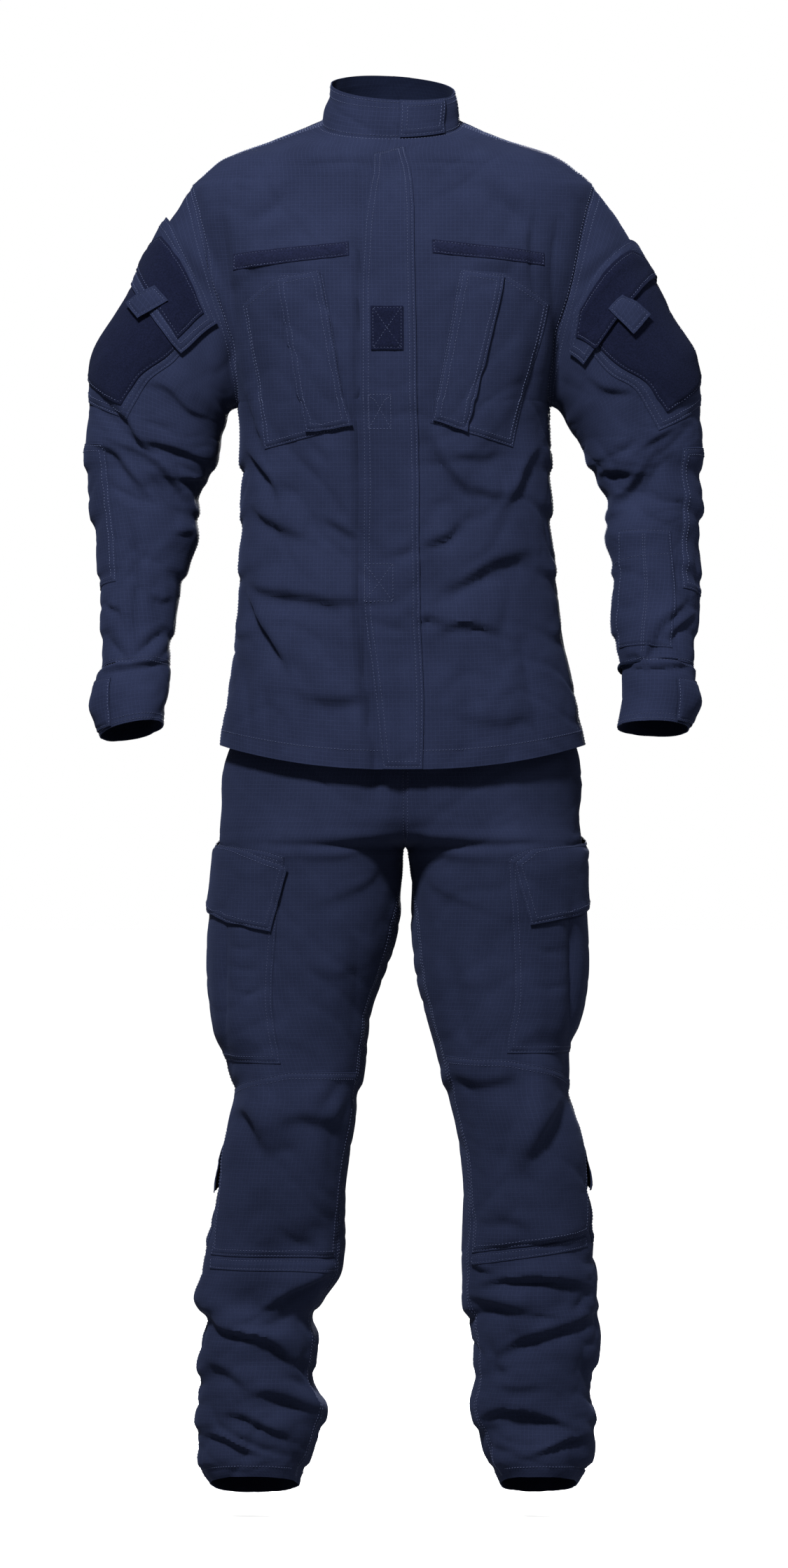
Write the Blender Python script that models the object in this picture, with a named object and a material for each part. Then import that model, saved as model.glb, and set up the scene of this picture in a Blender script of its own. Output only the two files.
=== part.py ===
"""A navy two-piece field uniform, hollow as if worn: a jacket with a stand collar, and trousers.

Metres, +Z up, the front faces -Y and the wearer's left is +X. The origin is where the wearer's
shoulders carry the jacket, in the middle of the neck opening. Every panel is a wall of cloth cut
from a form, which is a net of points round the body, a sleeve or a leg. What is sewn on a panel is
cut flat from the same net and laid on it, moved out.
"""

import math
from collections import namedtuple

import bmesh
import bpy
import numpy as np
from mathutils import Vector

WALL = 0.0016  # thickness of a panel
PATCH = 0.0012  # thickness of what is sewn on a panel
LOOP = 0.0016  # thickness of hook-and-loop tape
SEAM = 0.0003  # gap between two pieces
ROOM = 0.0009  # gap between two pieces that lie on a full pocket

CLOTH = ("ripstop", (0.034, 0.042, 0.078), 0.88)
TAPE = ("loop_tape", (0.014, 0.018, 0.040), 0.95)

# The jacket body's sections, from the hem up. left_x and right_x are the photograph's two outlines,
# front and back the depth each way, tilt the degrees by which the front hangs lower.
BODY = (
    # height, left_x, right_x, front, back, tilt
    (-0.734, 0.231, -0.211, 0.135, 0.132, 0),
    (-0.680, 0.220, -0.202, 0.132, 0.124, 0),
    (-0.630, 0.208, -0.194, 0.128, 0.116, 0),
    (-0.580, 0.199, -0.190, 0.126, 0.110, 0),
    (-0.530, 0.195, -0.187, 0.125, 0.105, 0),
    (-0.480, 0.190, -0.184, 0.125, 0.102, 0),
    (-0.428, 0.190, -0.183, 0.126, 0.103, 0),
    (-0.378, 0.189, -0.184, 0.128, 0.107, 0),
    (-0.330, 0.189, -0.187, 0.130, 0.113, 0),
    (-0.280, 0.200, -0.199, 0.132, 0.118, 0),
    (-0.220, 0.222, -0.222, 0.131, 0.122, 0),
    (-0.160, 0.238, -0.241, 0.125, 0.122, 0),
    (-0.110, 0.246, -0.250, 0.115, 0.116, 0),
    (-0.075, 0.246, -0.250, 0.107, 0.109, 0),
    (-0.056, 0.233, -0.237, 0.102, 0.104, 1),
    (-0.040, 0.211, -0.218, 0.098, 0.099, 2),
    (-0.024, 0.182, -0.194, 0.094, 0.094, 5),
    (-0.009, 0.134, -0.145, 0.089, 0.087, 10),
    (0.002, 0.104, -0.111, 0.085, 0.080, 14),
    (0.011, 0.079, -0.086, 0.079, 0.070, 17),
)
BODY_ROUND = 2.3  # power of the body's rounded sections
HEM_DROP_FRONT = 0.030
HEM_DROP_BACK = 0.018
HEM_DROP_FROM = -0.50  # the hem's curve fades out at this height
ARMHOLE_LOW = -0.330
ARMHOLE_HIGH = -0.058
ARMHOLE_FRONT = 0.062
ARMHOLE_BACK = 0.068
ARMHOLE_ROUND = 2.2
ARMHOLE_STEPS = 8  # rows up one side of an armhole
BODY_STEPS = 7  # columns in a quarter of the body
HEM_TO_ARMHOLE = (-0.734, -0.700, -0.664, -0.628, -0.590, -0.552, -0.513, -0.474, -0.435, -0.398, -0.363)
ARMHOLE_TO_NECK = (-0.044, -0.027, -0.010, 0.001, 0.011)

# The collar's sections, from the neck seam up.
COLLAR = (
    # station, left_x, right_x, left_z, right_z, front, back, tilt
    (0.000, 0.079, -0.086, 0.0113, 0.0113, 0.0790, 0.0700, 17.0),
    (0.018, 0.079, -0.083, 0.0260, 0.0280, 0.0780, 0.0700, 16.5),
    (0.036, 0.076, -0.076, 0.0440, 0.0480, 0.0750, 0.0700, 16.0),
    (0.046, 0.074, -0.075, 0.0500, 0.0590, 0.0740, 0.0695, 16.0),
)
COLLAR_ROUND = 2.1

# The sleeves' sections, from the armhole down. outer and inner are the photograph's two outlines,
# front and back the depth each way, and tilt the degrees by which the front of the ring is raised.
SLEEVE_LEFT = (
    # station, outer_x, outer_z, inner_x, inner_z, middle_y, front, back, tilt
    (1, 0.288, -0.136, 0.200, -0.335, 0.004, 0.070, 0.078, 0),
    (2, 0.321, -0.210, 0.206, -0.346, 0.006, 0.075, 0.080, 0),
    (3, 0.357, -0.264, 0.213, -0.357, 0.008, 0.074, 0.078, 0),
    (4, 0.367, -0.318, 0.223, -0.373, 0.008, 0.070, 0.074, 0),
    (5, 0.369, -0.364, 0.233, -0.394, 0.007, 0.067, 0.071, 2),
    (6, 0.367, -0.410, 0.244, -0.422, 0.004, 0.064, 0.068, 4),
    (7, 0.371, -0.450, 0.259, -0.448, -0.001, 0.060, 0.065, 7),
    (8, 0.367, -0.486, 0.249, -0.478, -0.009, 0.059, 0.062, 9),
    (9, 0.365, -0.522, 0.260, -0.516, -0.019, 0.055, 0.058, 11),
    (10, 0.367, -0.563, 0.258, -0.563, -0.033, 0.051, 0.054, 12),
    (11, 0.361, -0.602, 0.260, -0.602, -0.046, 0.048, 0.050, 12),
    (12, 0.358, -0.643, 0.270, -0.643, -0.060, 0.044, 0.046, 12),
)
SLEEVE_RIGHT = (
    # station, outer_x, outer_z, inner_x, inner_z, middle_y, front, back, tilt
    (1, -0.290, -0.138, -0.198, -0.335, 0.004, 0.070, 0.078, 0),
    (2, -0.315, -0.200, -0.200, -0.343, 0.006, 0.075, 0.080, 0),
    (3, -0.353, -0.262, -0.203, -0.353, 0.008, 0.074, 0.078, 0),
    (4, -0.364, -0.318, -0.208, -0.368, 0.008, 0.071, 0.074, 0),
    (5, -0.368, -0.364, -0.212, -0.390, 0.007, 0.068, 0.071, 2),
    (6, -0.366, -0.410, -0.222, -0.416, 0.004, 0.065, 0.068, 4),
    (7, -0.361, -0.448, -0.238, -0.443, -0.001, 0.061, 0.065, 7),
    (8, -0.357, -0.484, -0.232, -0.478, -0.009, 0.060, 0.062, 9),
    (9, -0.352, -0.522, -0.246, -0.518, -0.019, 0.055, 0.058, 11),
    (10, -0.351, -0.563, -0.257, -0.563, -0.033, 0.050, 0.053, 12),
    (11, -0.348, -0.602, -0.264, -0.602, -0.046, 0.047, 0.049, 12),
    (12, -0.347, -0.646, -0.266, -0.640, -0.060, 0.043, 0.045, 12),
)
SLEEVE_ROWS = 17
SLEEVE_ROUND = 2.1
SLEEVE_BACK_SEAM = 11  # column of the seam behind the arm, counted from the inner seam

CUFF_LEFT = (
    # station, outer_x, outer_z, inner_x, inner_z, middle_y, front, back, tilt
    (0, 0.361, -0.6510, 0.270, -0.6445, -0.0605, 0.0465, 0.0485, 12),
    (1, 0.360, -0.6800, 0.269, -0.6800, -0.0720, 0.0480, 0.0500, 12),
    (2, 0.353, -0.7160, 0.266, -0.7140, -0.0840, 0.0470, 0.0490, 12),
)
CUFF_RIGHT = (
    # station, outer_x, outer_z, inner_x, inner_z, middle_y, front, back, tilt
    (0, -0.354, -0.6550, -0.265, -0.6480, -0.0605, 0.0465, 0.0485, 12),
    (1, -0.357, -0.6870, -0.268, -0.6760, -0.0720, 0.0480, 0.0500, 12),
    (2, -0.352, -0.7250, -0.272, -0.7100, -0.0840, 0.0470, 0.0490, 13),
)

# The trousers' sections, from the hem up, one table for each leg. Above the crotch the inner side
# passes the middle of the body, and the seam there cuts it off.
LEG_LEFT = (
    # height, outer_x, inner_x, middle_y, front, back, tilt
    (-1.622, 0.222, 0.124, 0.002, 0.062, 0.066, 13),
    (-1.604, 0.235, 0.116, 0.003, 0.067, 0.072, 10),
    (-1.579, 0.242, 0.107, 0.004, 0.070, 0.075, 6),
    (-1.554, 0.243, 0.100, 0.005, 0.071, 0.076, 3),
    (-1.520, 0.239, 0.093, 0.006, 0.072, 0.077, 0),
    (-1.487, 0.241, 0.097, 0.007, 0.074, 0.079, 0),
    (-1.453, 0.250, 0.095, 0.007, 0.076, 0.081, 0),
    (-1.436, 0.251, 0.090, 0.007, 0.077, 0.082, 0),
    (-1.403, 0.246, 0.083, 0.006, 0.077, 0.083, 0),
    (-1.369, 0.245, 0.082, 0.004, 0.078, 0.084, 0),
    (-1.336, 0.242, 0.081, 0.001, 0.079, 0.083, 0),
    (-1.302, 0.237, 0.082, -0.003, 0.080, 0.082, 0),
    (-1.252, 0.231, 0.081, -0.007, 0.082, 0.081, 0),
    (-1.201, 0.224, 0.076, -0.008, 0.083, 0.082, 0),
    (-1.151, 0.210, 0.064, -0.007, 0.085, 0.085, 0),
    (-1.100, 0.209, 0.051, -0.004, 0.089, 0.091, 0),
    (-1.050, 0.221, 0.036, -0.002, 0.094, 0.098, 0),
    (-1.000, 0.226, 0.024, 0.000, 0.099, 0.105, 0),
    (-0.949, 0.226, 0.020, 0.001, 0.104, 0.112, 0),
    (-0.900, 0.224, 0.020, 0.002, 0.109, 0.119, 0),
    (-0.861, 0.225, 0.0145, 0.002, 0.112, 0.123, 0),
    (-0.846, 0.227, -0.035, 0.002, 0.113, 0.124, 0),
    (-0.826, 0.225, -0.100, 0.001, 0.114, 0.125, 0),
    (-0.798, 0.225, -0.165, 0.000, 0.115, 0.124, 0),
    (-0.764, 0.2265, -0.1985, 0.000, 0.114, 0.121, 0),
    (-0.720, 0.213, -0.185, 0.000, 0.112, 0.112, 0),
    (-0.670, 0.192, -0.164, 0.000, 0.108, 0.100, 0),
    (-0.620, 0.180, -0.152, 0.000, 0.105, 0.092, 0),
)
LEG_RIGHT = (
    # height, outer_x, inner_x, middle_y, front, back, tilt
    (-1.622, -0.222, -0.112, 0.002, 0.062, 0.066, 13),
    (-1.604, -0.233, -0.106, 0.003, 0.067, 0.072, 10),
    (-1.579, -0.236, -0.097, 0.004, 0.070, 0.075, 6),
    (-1.554, -0.237, -0.087, 0.005, 0.071, 0.076, 3),
    (-1.529, -0.236, -0.082, 0.006, 0.072, 0.077, 0),
    (-1.500, -0.235, -0.094, 0.007, 0.074, 0.079, 0),
    (-1.470, -0.233, -0.095, 0.007, 0.076, 0.081, 0),
    (-1.443, -0.230, -0.091, 0.007, 0.077, 0.082, 0),
    (-1.420, -0.229, -0.095, 0.007, 0.077, 0.083, 0),
    (-1.400, -0.238, -0.084, 0.006, 0.077, 0.083, 0),
    (-1.372, -0.230, -0.062, 0.004, 0.078, 0.084, 0),
    (-1.336, -0.224, -0.056, 0.001, 0.079, 0.083, 0),
    (-1.302, -0.217, -0.056, -0.003, 0.080, 0.082, 0),
    (-1.252, -0.211, -0.056, -0.007, 0.082, 0.081, 0),
    (-1.201, -0.203, -0.049, -0.008, 0.083, 0.082, 0),
    (-1.151, -0.192, -0.042, -0.007, 0.085, 0.085, 0),
    (-1.100, -0.204, -0.032, -0.004, 0.089, 0.091, 0),
    (-1.050, -0.214, -0.025, -0.002, 0.094, 0.098, 0),
    (-1.000, -0.217, -0.006, 0.000, 0.099, 0.105, 0),
    (-0.949, -0.215, 0.008, 0.001, 0.104, 0.112, 0),
    (-0.900, -0.210, 0.011, 0.002, 0.109, 0.119, 0),
    (-0.861, -0.208, 0.0135, 0.002, 0.112, 0.123, 0),
    (-0.846, -0.210, 0.063, 0.002, 0.113, 0.124, 0),
    (-0.826, -0.208, 0.128, 0.001, 0.114, 0.125, 0),
    (-0.798, -0.206, 0.193, 0.000, 0.115, 0.124, 0),
    (-0.764, -0.2065, 0.2265, 0.000, 0.114, 0.121, 0),
    (-0.720, -0.191, 0.212, 0.000, 0.112, 0.112, 0),
    (-0.670, -0.170, 0.192, 0.000, 0.108, 0.100, 0),
    (-0.620, -0.158, 0.180, 0.000, 0.105, 0.092, 0),
)
CROTCH = -0.861
LEG_MIDDLE_X = 0.014  # the trousers' middle seam
LEG_ROUND = 2.15
LEG_STEPS = 7  # columns in a front or a back panel
LEG_ROWS = (
    (-1.622, -1.602, -1.579, -1.553, -1.526, -1.500, -1.472, -1.444, -1.420, -1.399, -1.372, -1.345)
    + (-1.316, -1.284, -1.250, -1.215, -1.180, -1.150, -1.118, -1.084, -1.048, -1.012, -0.976, -0.940)
    + (-0.908, -0.880, -0.861, -0.848, -0.830, -0.806, -0.772, -0.735, -0.682, -0.622)
)
INSEAM_ANGLE = 155  # below the crotch the inner seam comes this far forward
INSEAM_FALL = 0.10  # over this height
OUTSEAM_ANGLE = -8

WAIST_LOW = -0.6215
WAIST_HIGH = -0.5780

# The largest folds. A ridge's height is positive and a trough's negative. The line runs between two
# points of the front view, or of the back view, and bow is how far its middle sags to one side.
Fold = namedtuple("Fold", "view from_x from_z to_x to_z bow width height")
FOLDS = (
    Fold("front", -0.185, -1.352, -0.060, -1.300, -0.010, 0.016, -0.007),
    Fold("front", -0.232, -1.392, -0.120, -1.440, 0.012, 0.018, -0.009),
    Fold("front", -0.150, -1.395, -0.070, -1.372, -0.012, 0.022, 0.006),
    Fold("front", -0.226, -1.462, -0.100, -1.500, 0.010, 0.018, -0.008),
    Fold("front", -0.205, -1.520, -0.095, -1.545, 0.010, 0.016, -0.007),
    Fold("front", -0.228, -1.560, -0.125, -1.585, 0.008, 0.014, -0.006),
    Fold("front", 0.105, -1.372, 0.225, -1.358, 0.010, 0.016, -0.007),
    Fold("front", 0.125, -1.450, 0.240, -1.398, 0.010, 0.018, -0.009),
    Fold("front", 0.120, -1.415, 0.200, -1.392, -0.010, 0.020, 0.005),
    Fold("front", 0.100, -1.530, 0.205, -1.520, -0.016, 0.018, -0.008),
    Fold("front", 0.105, -1.575, 0.215, -1.560, 0.014, 0.015, -0.007),
    Fold("back", -0.220, -1.330, -0.070, -1.350, 0.012, 0.020, -0.008),
    Fold("back", -0.215, -1.400, -0.085, -1.420, -0.012, 0.020, -0.008),
    Fold("back", -0.225, -1.480, -0.095, -1.500, 0.012, 0.018, -0.008),
    Fold("back", -0.225, -1.550, -0.100, -1.560, -0.010, 0.016, -0.007),
    Fold("back", 0.085, -1.345, 0.230, -1.330, 0.012, 0.020, -0.008),
    Fold("back", 0.090, -1.420, 0.240, -1.400, -0.012, 0.020, -0.008),
    Fold("back", 0.100, -1.500, 0.235, -1.485, 0.012, 0.018, -0.008),
    Fold("back", 0.105, -1.560, 0.235, -1.550, -0.010, 0.016, -0.007),
    Fold("front", -0.215, -0.420, -0.350, -0.345, 0.006, 0.015, -0.007),
    Fold("front", -0.235, -0.450, -0.335, -0.400, 0.006, 0.015, -0.006),
    Fold("front", 0.240, -0.425, 0.320, -0.385, -0.006, 0.015, -0.007),
    Fold("front", 0.265, -0.450, 0.345, -0.400, -0.006, 0.014, -0.005),
    Fold("back", -0.345, -0.430, -0.235, -0.410, 0.008, 0.016, -0.006),
    Fold("back", 0.245, -0.410, 0.350, -0.430, 0.008, 0.016, -0.006),
    Fold("front", -0.185, -0.340, -0.060, -0.560, 0.020, 0.026, -0.006),
    Fold("front", 0.185, -0.340, 0.070, -0.520, -0.020, 0.026, -0.006),
    Fold("front", 0.170, -0.470, 0.040, -0.580, -0.010, 0.024, -0.005),
    Fold("back", -0.150, -0.260, -0.030, -0.500, 0.020, 0.028, -0.006),
    Fold("back", 0.150, -0.260, 0.030, -0.500, -0.020, 0.028, -0.006),
    Fold("back", -0.150, -0.560, 0.140, -0.540, 0.020, 0.024, -0.005),
)

# What is sewn on the jacket body: outlines in millimetres across and up, as seen from the front.
PLACKET = ((-24, -34), (13, -23), (24, -92), (34, -647), (34, -765), (-13, -768), (-35, -571), (-38, -193), (-34, -117))
RANK_TAB = ((-28, -215), (11, -215), (11, -267), (-28, -267))
NAME_TAPE_LEFT = ((46, -135), (180, -149), (180, -165), (46, -152))
NAME_TAPE_RIGHT = ((-192, -150), (-53, -138), (-53, -155), (-192, -170))
CHEST_POCKET_LEFT = ((185, -210), (132, -175), (78, -171), (43, -354), (142, -381))
CHEST_POCKET_RIGHT = ((-182, -210), (-136, -175), (-84, -175), (-50, -359), (-150, -383))
CHEST_FLAP_LEFT = ((81, -171), (45, -350), (86, -364), (132, -179))
CHEST_FLAP_RIGHT = ((-139, -181), (-102, -364), (-50, -356), (-88, -171))
COLLAR_TAB = ((7, 40), (56, 48), (58, -5), (7, -12))

# What is sewn on the sleeves. The third number is how far past its seen place a corner wraps round.
SLEEVE_POCKET_LEFT = ((228, -254, 0), (315, -360, 0), (366, -316, 40), (320, -180, 60), (282, -160, 0))
SLEEVE_POCKET_RIGHT = ((-243, -253, 0), (-317, -347, 0), (-362, -316, 40), (-318, -192, 60), (-283, -168, 0))
SLEEVE_FLAP_LEFT = ((276, -133, 0), (310, -172, 52), (312, -188, 52), (228, -281, 0), (210, -265, 0), (213, -216, 0))
SLEEVE_FLAP_RIGHT = ((-270, -118, 0), (-304, -150, 52), (-312, -178, 52), (-253, -267, 0), (-207, -229, 0))
SLEEVE_LOOP_LEFT = ((290, -174, 8), (316, -190, 42), (366, -290, 30), (324, -339, 0), (238, -252, 0))
SLEEVE_LOOP_RIGHT = ((-294, -183, 10), (-317, -206, 40), (-360, -290, 30), (-322, -329, 0), (-254, -255, 0))
FLAP_LOOP_LEFT = ((277, -146, 0), (306, -181, 30), (242, -262, 0), (215, -247, 0), (218, -216, 0))
FLAP_LOOP_RIGHT = ((-270, -129, 0), (-303, -165, 30), (-257, -250, 0), (-223, -218, 0))
PULL_TAB_LEFT = ((270, -198, 0), (253, -216, 0), (282, -247, 0), (299, -225, 0))
PULL_TAB_RIGHT = ((-309, -210, 0), (-278, -188, 0), (-266, -206, 0), (-297, -229, 0))
ELBOW_LEFT = ((344, -380, 0), (344, -380, 135), (344, -548, 120), (344, -548, 0))
ELBOW_RIGHT = ((-344, -374, 0), (-344, -374, 135), (-330, -540, 120), (-330, -540, 0))
PEN_POCKET = ((331, -478, 0), (331, -620, 0), (268, -620, 0), (268, -478, 0))
CUFF_TAB_LEFT = ((335, -655, 0), (352, -653, 70), (352, -706, 70), (335, -706, 0))
CUFF_TAB_RIGHT = ((-335, -655, 0), (-352, -655, 70), (-352, -712, 70), (-335, -712, 0))

# What is sewn on the trousers.
CARGO_POCKET_LEFT = ((134, -868, 0), (134, -1101, 0), (216, -1104, 75), (228, -846, 75))
CARGO_POCKET_RIGHT = ((-129, -868, 0), (-133, -1114, 0), (-208, -1110, 75), (-212, -846, 75))
CARGO_FLAP_LEFT = ((140, -872, 0), (224, -840, 80), (224, -915, 80), (159, -947, 0))
CARGO_FLAP_RIGHT = ((-125, -880, 0), (-208, -840, 80), (-208, -924, 80), (-144, -956, 0))
KNEE_PATCH_LEFT = ((60, -1087, 0), (139, -1109, 0), (212, -1116, 9), (228, -1319, 9), (95, -1342, 0))
KNEE_PATCH_RIGHT = ((-196, -1120, 9), (-125, -1123, 0), (-40, -1100, 0), (-70, -1347, 0), (-214, -1345, 9))
KNEE_STRIP_LEFT = ((95, -1344, 0), (228, -1321, 9), (228, -1334, 9), (95, -1356, 0))
KNEE_STRIP_RIGHT = ((-214, -1347, 9), (-70, -1349, 0), (-70, -1364, 0), (-214, -1361, 9))
CALF_POCKET_LEFT = ((226, -1210, 22), (232, -1330, 22), (232, -1330, 98), (226, -1210, 98))
CALF_POCKET_RIGHT = ((-208, -1215, 22), (-216, -1335, 22), (-216, -1335, 98), (-208, -1215, 98))
CALF_FLAP_LEFT = ((226, -1206, 18), (226, -1206, 102), (226, -1262, 102), (226, -1268, 18))
CALF_FLAP_RIGHT = ((-206, -1211, 18), (-206, -1211, 102), (-208, -1266, 102), (-208, -1272, 18))
SPREAD = 0.009  # a flap on a full pocket starts to rise this far outside the pocket
CARGO_FULL = (0.006, 0.036)  # a cargo pocket stands this high above its edges, and rises over this far
SLEEVE_FULL = (0.004, 0.030)
SLEEVE_SPREADS = {  # the same for the sleeve's pocket, its tape, its flap, the flap's tape and the tab
    "left": (0.000, 0.006, 0.012, 0.018, 0.024),
    "right": (0.000, 0.006, 0.006, 0.012, 0.013),
}
CALF_FULL = (0.0036, 0.030)
CUFF_TAB_FULL = (0.008, 0.035)

Form = namedtuple("Form", "place out flat")


def steady_slopes(rows, stations):
    """Slopes at a table's rows that let no curve swing past them: level where a column turns back."""
    rises = np.diff(rows, axis=0) / np.diff(stations)[:, None]
    before, after = rises[:-1], rises[1:]
    same_way = before * after > 0
    total = np.where(same_way, before + after, 1.0)
    middle = np.where(same_way, 2 * before * after / total, 0.0)
    return np.concatenate([rises[:1], middle, rises[-1:]])


def along(table, station):
    """The row of a table at a station, on a smooth curve through all its rows."""
    rows = np.array(table, float)
    stations = rows[:, 0]
    slopes = steady_slopes(rows, stations)
    i = int(np.clip(np.searchsorted(stations, station) - 1, 0, len(stations) - 2))
    step = stations[i + 1] - stations[i]
    t = (station - stations[i]) / step
    return (
        (1 + 2 * t) * (1 - t) ** 2 * rows[i]
        + t * (1 - t) ** 2 * step * slopes[i]
        + t * t * (3 - 2 * t) * rows[i + 1]
        - t * t * (1 - t) * step * slopes[i + 1]
    )


def ring(outer, inner, middle_y, front, back, tilt, power, angles):
    """Points of one rounded section: angle 0 is its outer side, 90 its front and 180 its inner side."""
    outer = np.array([outer[0], middle_y, outer[1]])
    inner = np.array([inner[0], middle_y, inner[1]])
    angle = np.radians(angles)
    across = np.sign(np.cos(angle)) * np.abs(np.cos(angle)) ** (2 / power)
    forward = np.sign(np.sin(angle)) * np.abs(np.sin(angle)) ** (2 / power)
    forward = forward * np.where(forward > 0, front, back)
    lean = np.radians(tilt)
    direction = np.array([0.0, -math.cos(lean), math.sin(lean)])
    return (outer + inner) / 2 + np.outer(across, (outer - inner) / 2) + np.outer(forward, direction)


def body_ring(height, angles):
    """A section of the jacket body, with the hem's curve."""
    _, left, right, front, back, tilt = along(BODY, height)
    points = ring((left, height), (right, height), 0.0, front, back, -tilt, BODY_ROUND, angles)
    low = np.clip((HEM_DROP_FROM - height) / (HEM_DROP_FROM - BODY[0][0]), 0, 1) ** 2
    turn = np.sin(np.radians(angles))
    points[:, 2] -= low * turn**2 * np.where(turn > 0, HEM_DROP_FRONT, HEM_DROP_BACK)
    return points


def sleeve_ring(table, station, angles):
    _, outer_x, outer_z, inner_x, inner_z, middle_y, front, back, tilt = along(table, station)
    outer, inner = (outer_x, outer_z), (inner_x, inner_z)
    return ring(outer, inner, middle_y, front, back, tilt, SLEEVE_ROUND, angles)


def leg_ring(table, height, angles):
    _, outer, inner, middle_y, front, back, tilt = along(table, height)
    return ring((outer, height), (inner, height), middle_y, front, back, tilt, LEG_ROUND, angles)


def unit(vectors):
    return vectors / np.maximum(np.linalg.norm(vectors, axis=-1, keepdims=True), 1e-12)


def outward(place, closed):
    """The outward direction at each point of a net, whose columns may close into a tube."""
    down = np.gradient(place, axis=0)
    if closed:
        loop = place[:, :-1]
        round_ = (np.roll(loop, -1, axis=1) - np.roll(loop, 1, axis=1)) / 2
        round_ = np.concatenate([round_, round_[:, :1]], axis=1)
    else:
        round_ = np.gradient(place, axis=1)
    out = unit(np.cross(down, round_))
    middle = place.mean(axis=1, keepdims=True)
    return out * np.sign(np.sum(out * (place - middle)))


def fold_height(place, out):
    """How far the large folds move each point of a net along its outward direction."""
    total = np.zeros(place.shape[:-1])
    for fold in FOLDS:
        side = -1.0 if fold.view == "front" else 1.0
        start = np.array([fold.from_x, fold.from_z])
        line = np.array([fold.to_x, fold.to_z]) - start
        length = np.linalg.norm(line)
        seen = place[..., [0, 2]] - start
        share = np.clip(seen @ line / length**2, 0, 1)
        across = (seen[..., 1] * line[0] - seen[..., 0] * line[1]) / length
        across = across - fold.bow * 4 * share * (1 - share)
        facing = np.clip(side * out[..., 1] * 1.6, 0, 1)
        total += fold.height * np.sin(np.pi * share) ** 0.8 * facing * np.exp(-((across / fold.width) ** 2))
    return total


def make_form(place, closed, zero_column):
    """A net of points with its folds, outward directions and flat pattern."""
    out = outward(place, closed)
    place = place + out * fold_height(place, out)[..., None]
    out = outward(place, closed)
    widths = np.linalg.norm(np.diff(place, axis=1), axis=2)
    round_ = np.concatenate([np.zeros((len(place), 1)), np.cumsum(widths, axis=1)], axis=1)
    round_ = round_ - round_[:, zero_column : zero_column + 1]
    steps = np.linalg.norm(np.diff(place, axis=0), axis=2).mean(axis=1)
    length = np.concatenate([[0.0], np.cumsum(steps)])
    return Form(place, out, np.stack([round_, np.repeat(length[:, None], place.shape[1], axis=1)], axis=2))


def columns(form, first, last):
    """The part of a form between two columns, its two long edges drawn in by half a seam gap."""
    place = form.place[:, first : last + 1].copy()
    place[:, 0] += unit(place[:, 1] - place[:, 0]) * SEAM / 2
    place[:, -1] += unit(place[:, -2] - place[:, -1]) * SEAM / 2
    return Form(place, form.out[:, first : last + 1], form.flat[:, first : last + 1])


def flat_cloth(form, closed=False):
    """The form laid flat as a mesh whose points remember their place and outward direction."""
    cloth = bmesh.new()
    place = cloth.verts.layers.float_vector.new("place")
    out = cloth.verts.layers.float_vector.new("out")
    rows, cols = form.flat.shape[:2]
    net = []
    for i in range(rows):
        net.append([])
        for j in range(cols - 1 if closed else cols):
            point = cloth.verts.new((*form.flat[i, j], 0))
            point[place] = Vector(form.place[i, j])
            point[out] = Vector(form.out[i, j])
            net[i].append(point)
        if closed:
            net[i].append(net[i][0])
    for i in range(rows - 1):
        for j in range(cols - 1):
            cloth.faces.new((net[i][j], net[i][j + 1], net[i + 1][j + 1]))
            cloth.faces.new((net[i][j], net[i + 1][j + 1], net[i + 1][j]))
    return cloth


def cut_out(form, outline):
    """The cloth inside a convex outline of (round, length) points in the form's flat pattern."""
    cloth = flat_cloth(form)
    centre = sum((Vector(p) for p in outline), Vector((0, 0))) / len(outline)
    for start, end in zip(outline, outline[1:] + outline[:1]):
        start, end = Vector(start), Vector(end)
        away = Vector((end.y - start.y, start.x - end.x)).normalized()
        if away.dot(centre - start) > 0:
            away = -away
        bmesh.ops.bisect_plane(
            cloth,
            geom=cloth.verts[:] + cloth.edges[:] + cloth.faces[:],
            dist=0.0012,
            plane_co=(*start, 0),
            plane_no=(*away, 0),
            clear_outer=True,
        )
    bmesh.ops.triangulate(cloth, faces=cloth.faces[:])
    return cloth


def finish(name, cloth, under, over, finish_of):
    """A closed wall of cloth between two distances from its form, as a named object."""
    place = cloth.verts.layers.float_vector["place"]
    out = cloth.verts.layers.float_vector["out"]
    upper, lower = {}, {}
    solid = bmesh.new()
    for point in cloth.verts:
        flat = (point.co.x, point.co.y)
        upper[point] = solid.verts.new(point[place] + point[out] * over(*flat))
        lower[point] = solid.verts.new(point[place] + point[out] * under(*flat))
    for face in cloth.faces:
        solid.faces.new([upper[v] for v in face.verts])
        solid.faces.new([lower[v] for v in reversed(face.verts)])
    for edge in cloth.edges:
        if edge.is_boundary:
            a, b = edge.verts
            solid.faces.new((upper[a], upper[b], lower[b]))
            solid.faces.new((upper[a], lower[b], lower[a]))
    bmesh.ops.recalc_face_normals(solid, faces=solid.faces[:])
    mesh = bpy.data.meshes.new(name)
    solid.to_mesh(mesh)
    solid.free()
    cloth.free()
    mesh.shade_smooth()
    mesh.set_sharp_from_angle(angle=math.radians(40))
    mesh.materials.append(material(*finish_of))
    thing = bpy.data.objects.new(name, mesh)
    bpy.context.scene.collection.objects.link(thing)
    return thing


def material(name, colour, roughness):
    found = bpy.data.materials.get(name)
    if found:
        return found
    made = bpy.data.materials.new(name)
    made.use_nodes = True
    shader = made.node_tree.nodes["Principled BSDF"]
    shader.inputs["Base Color"].default_value = (*colour, 1)
    shader.inputs["Roughness"].default_value = roughness
    shader.inputs["Metallic"].default_value = 0.0
    return made


def level(distance):
    return lambda round_, length: distance


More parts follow.
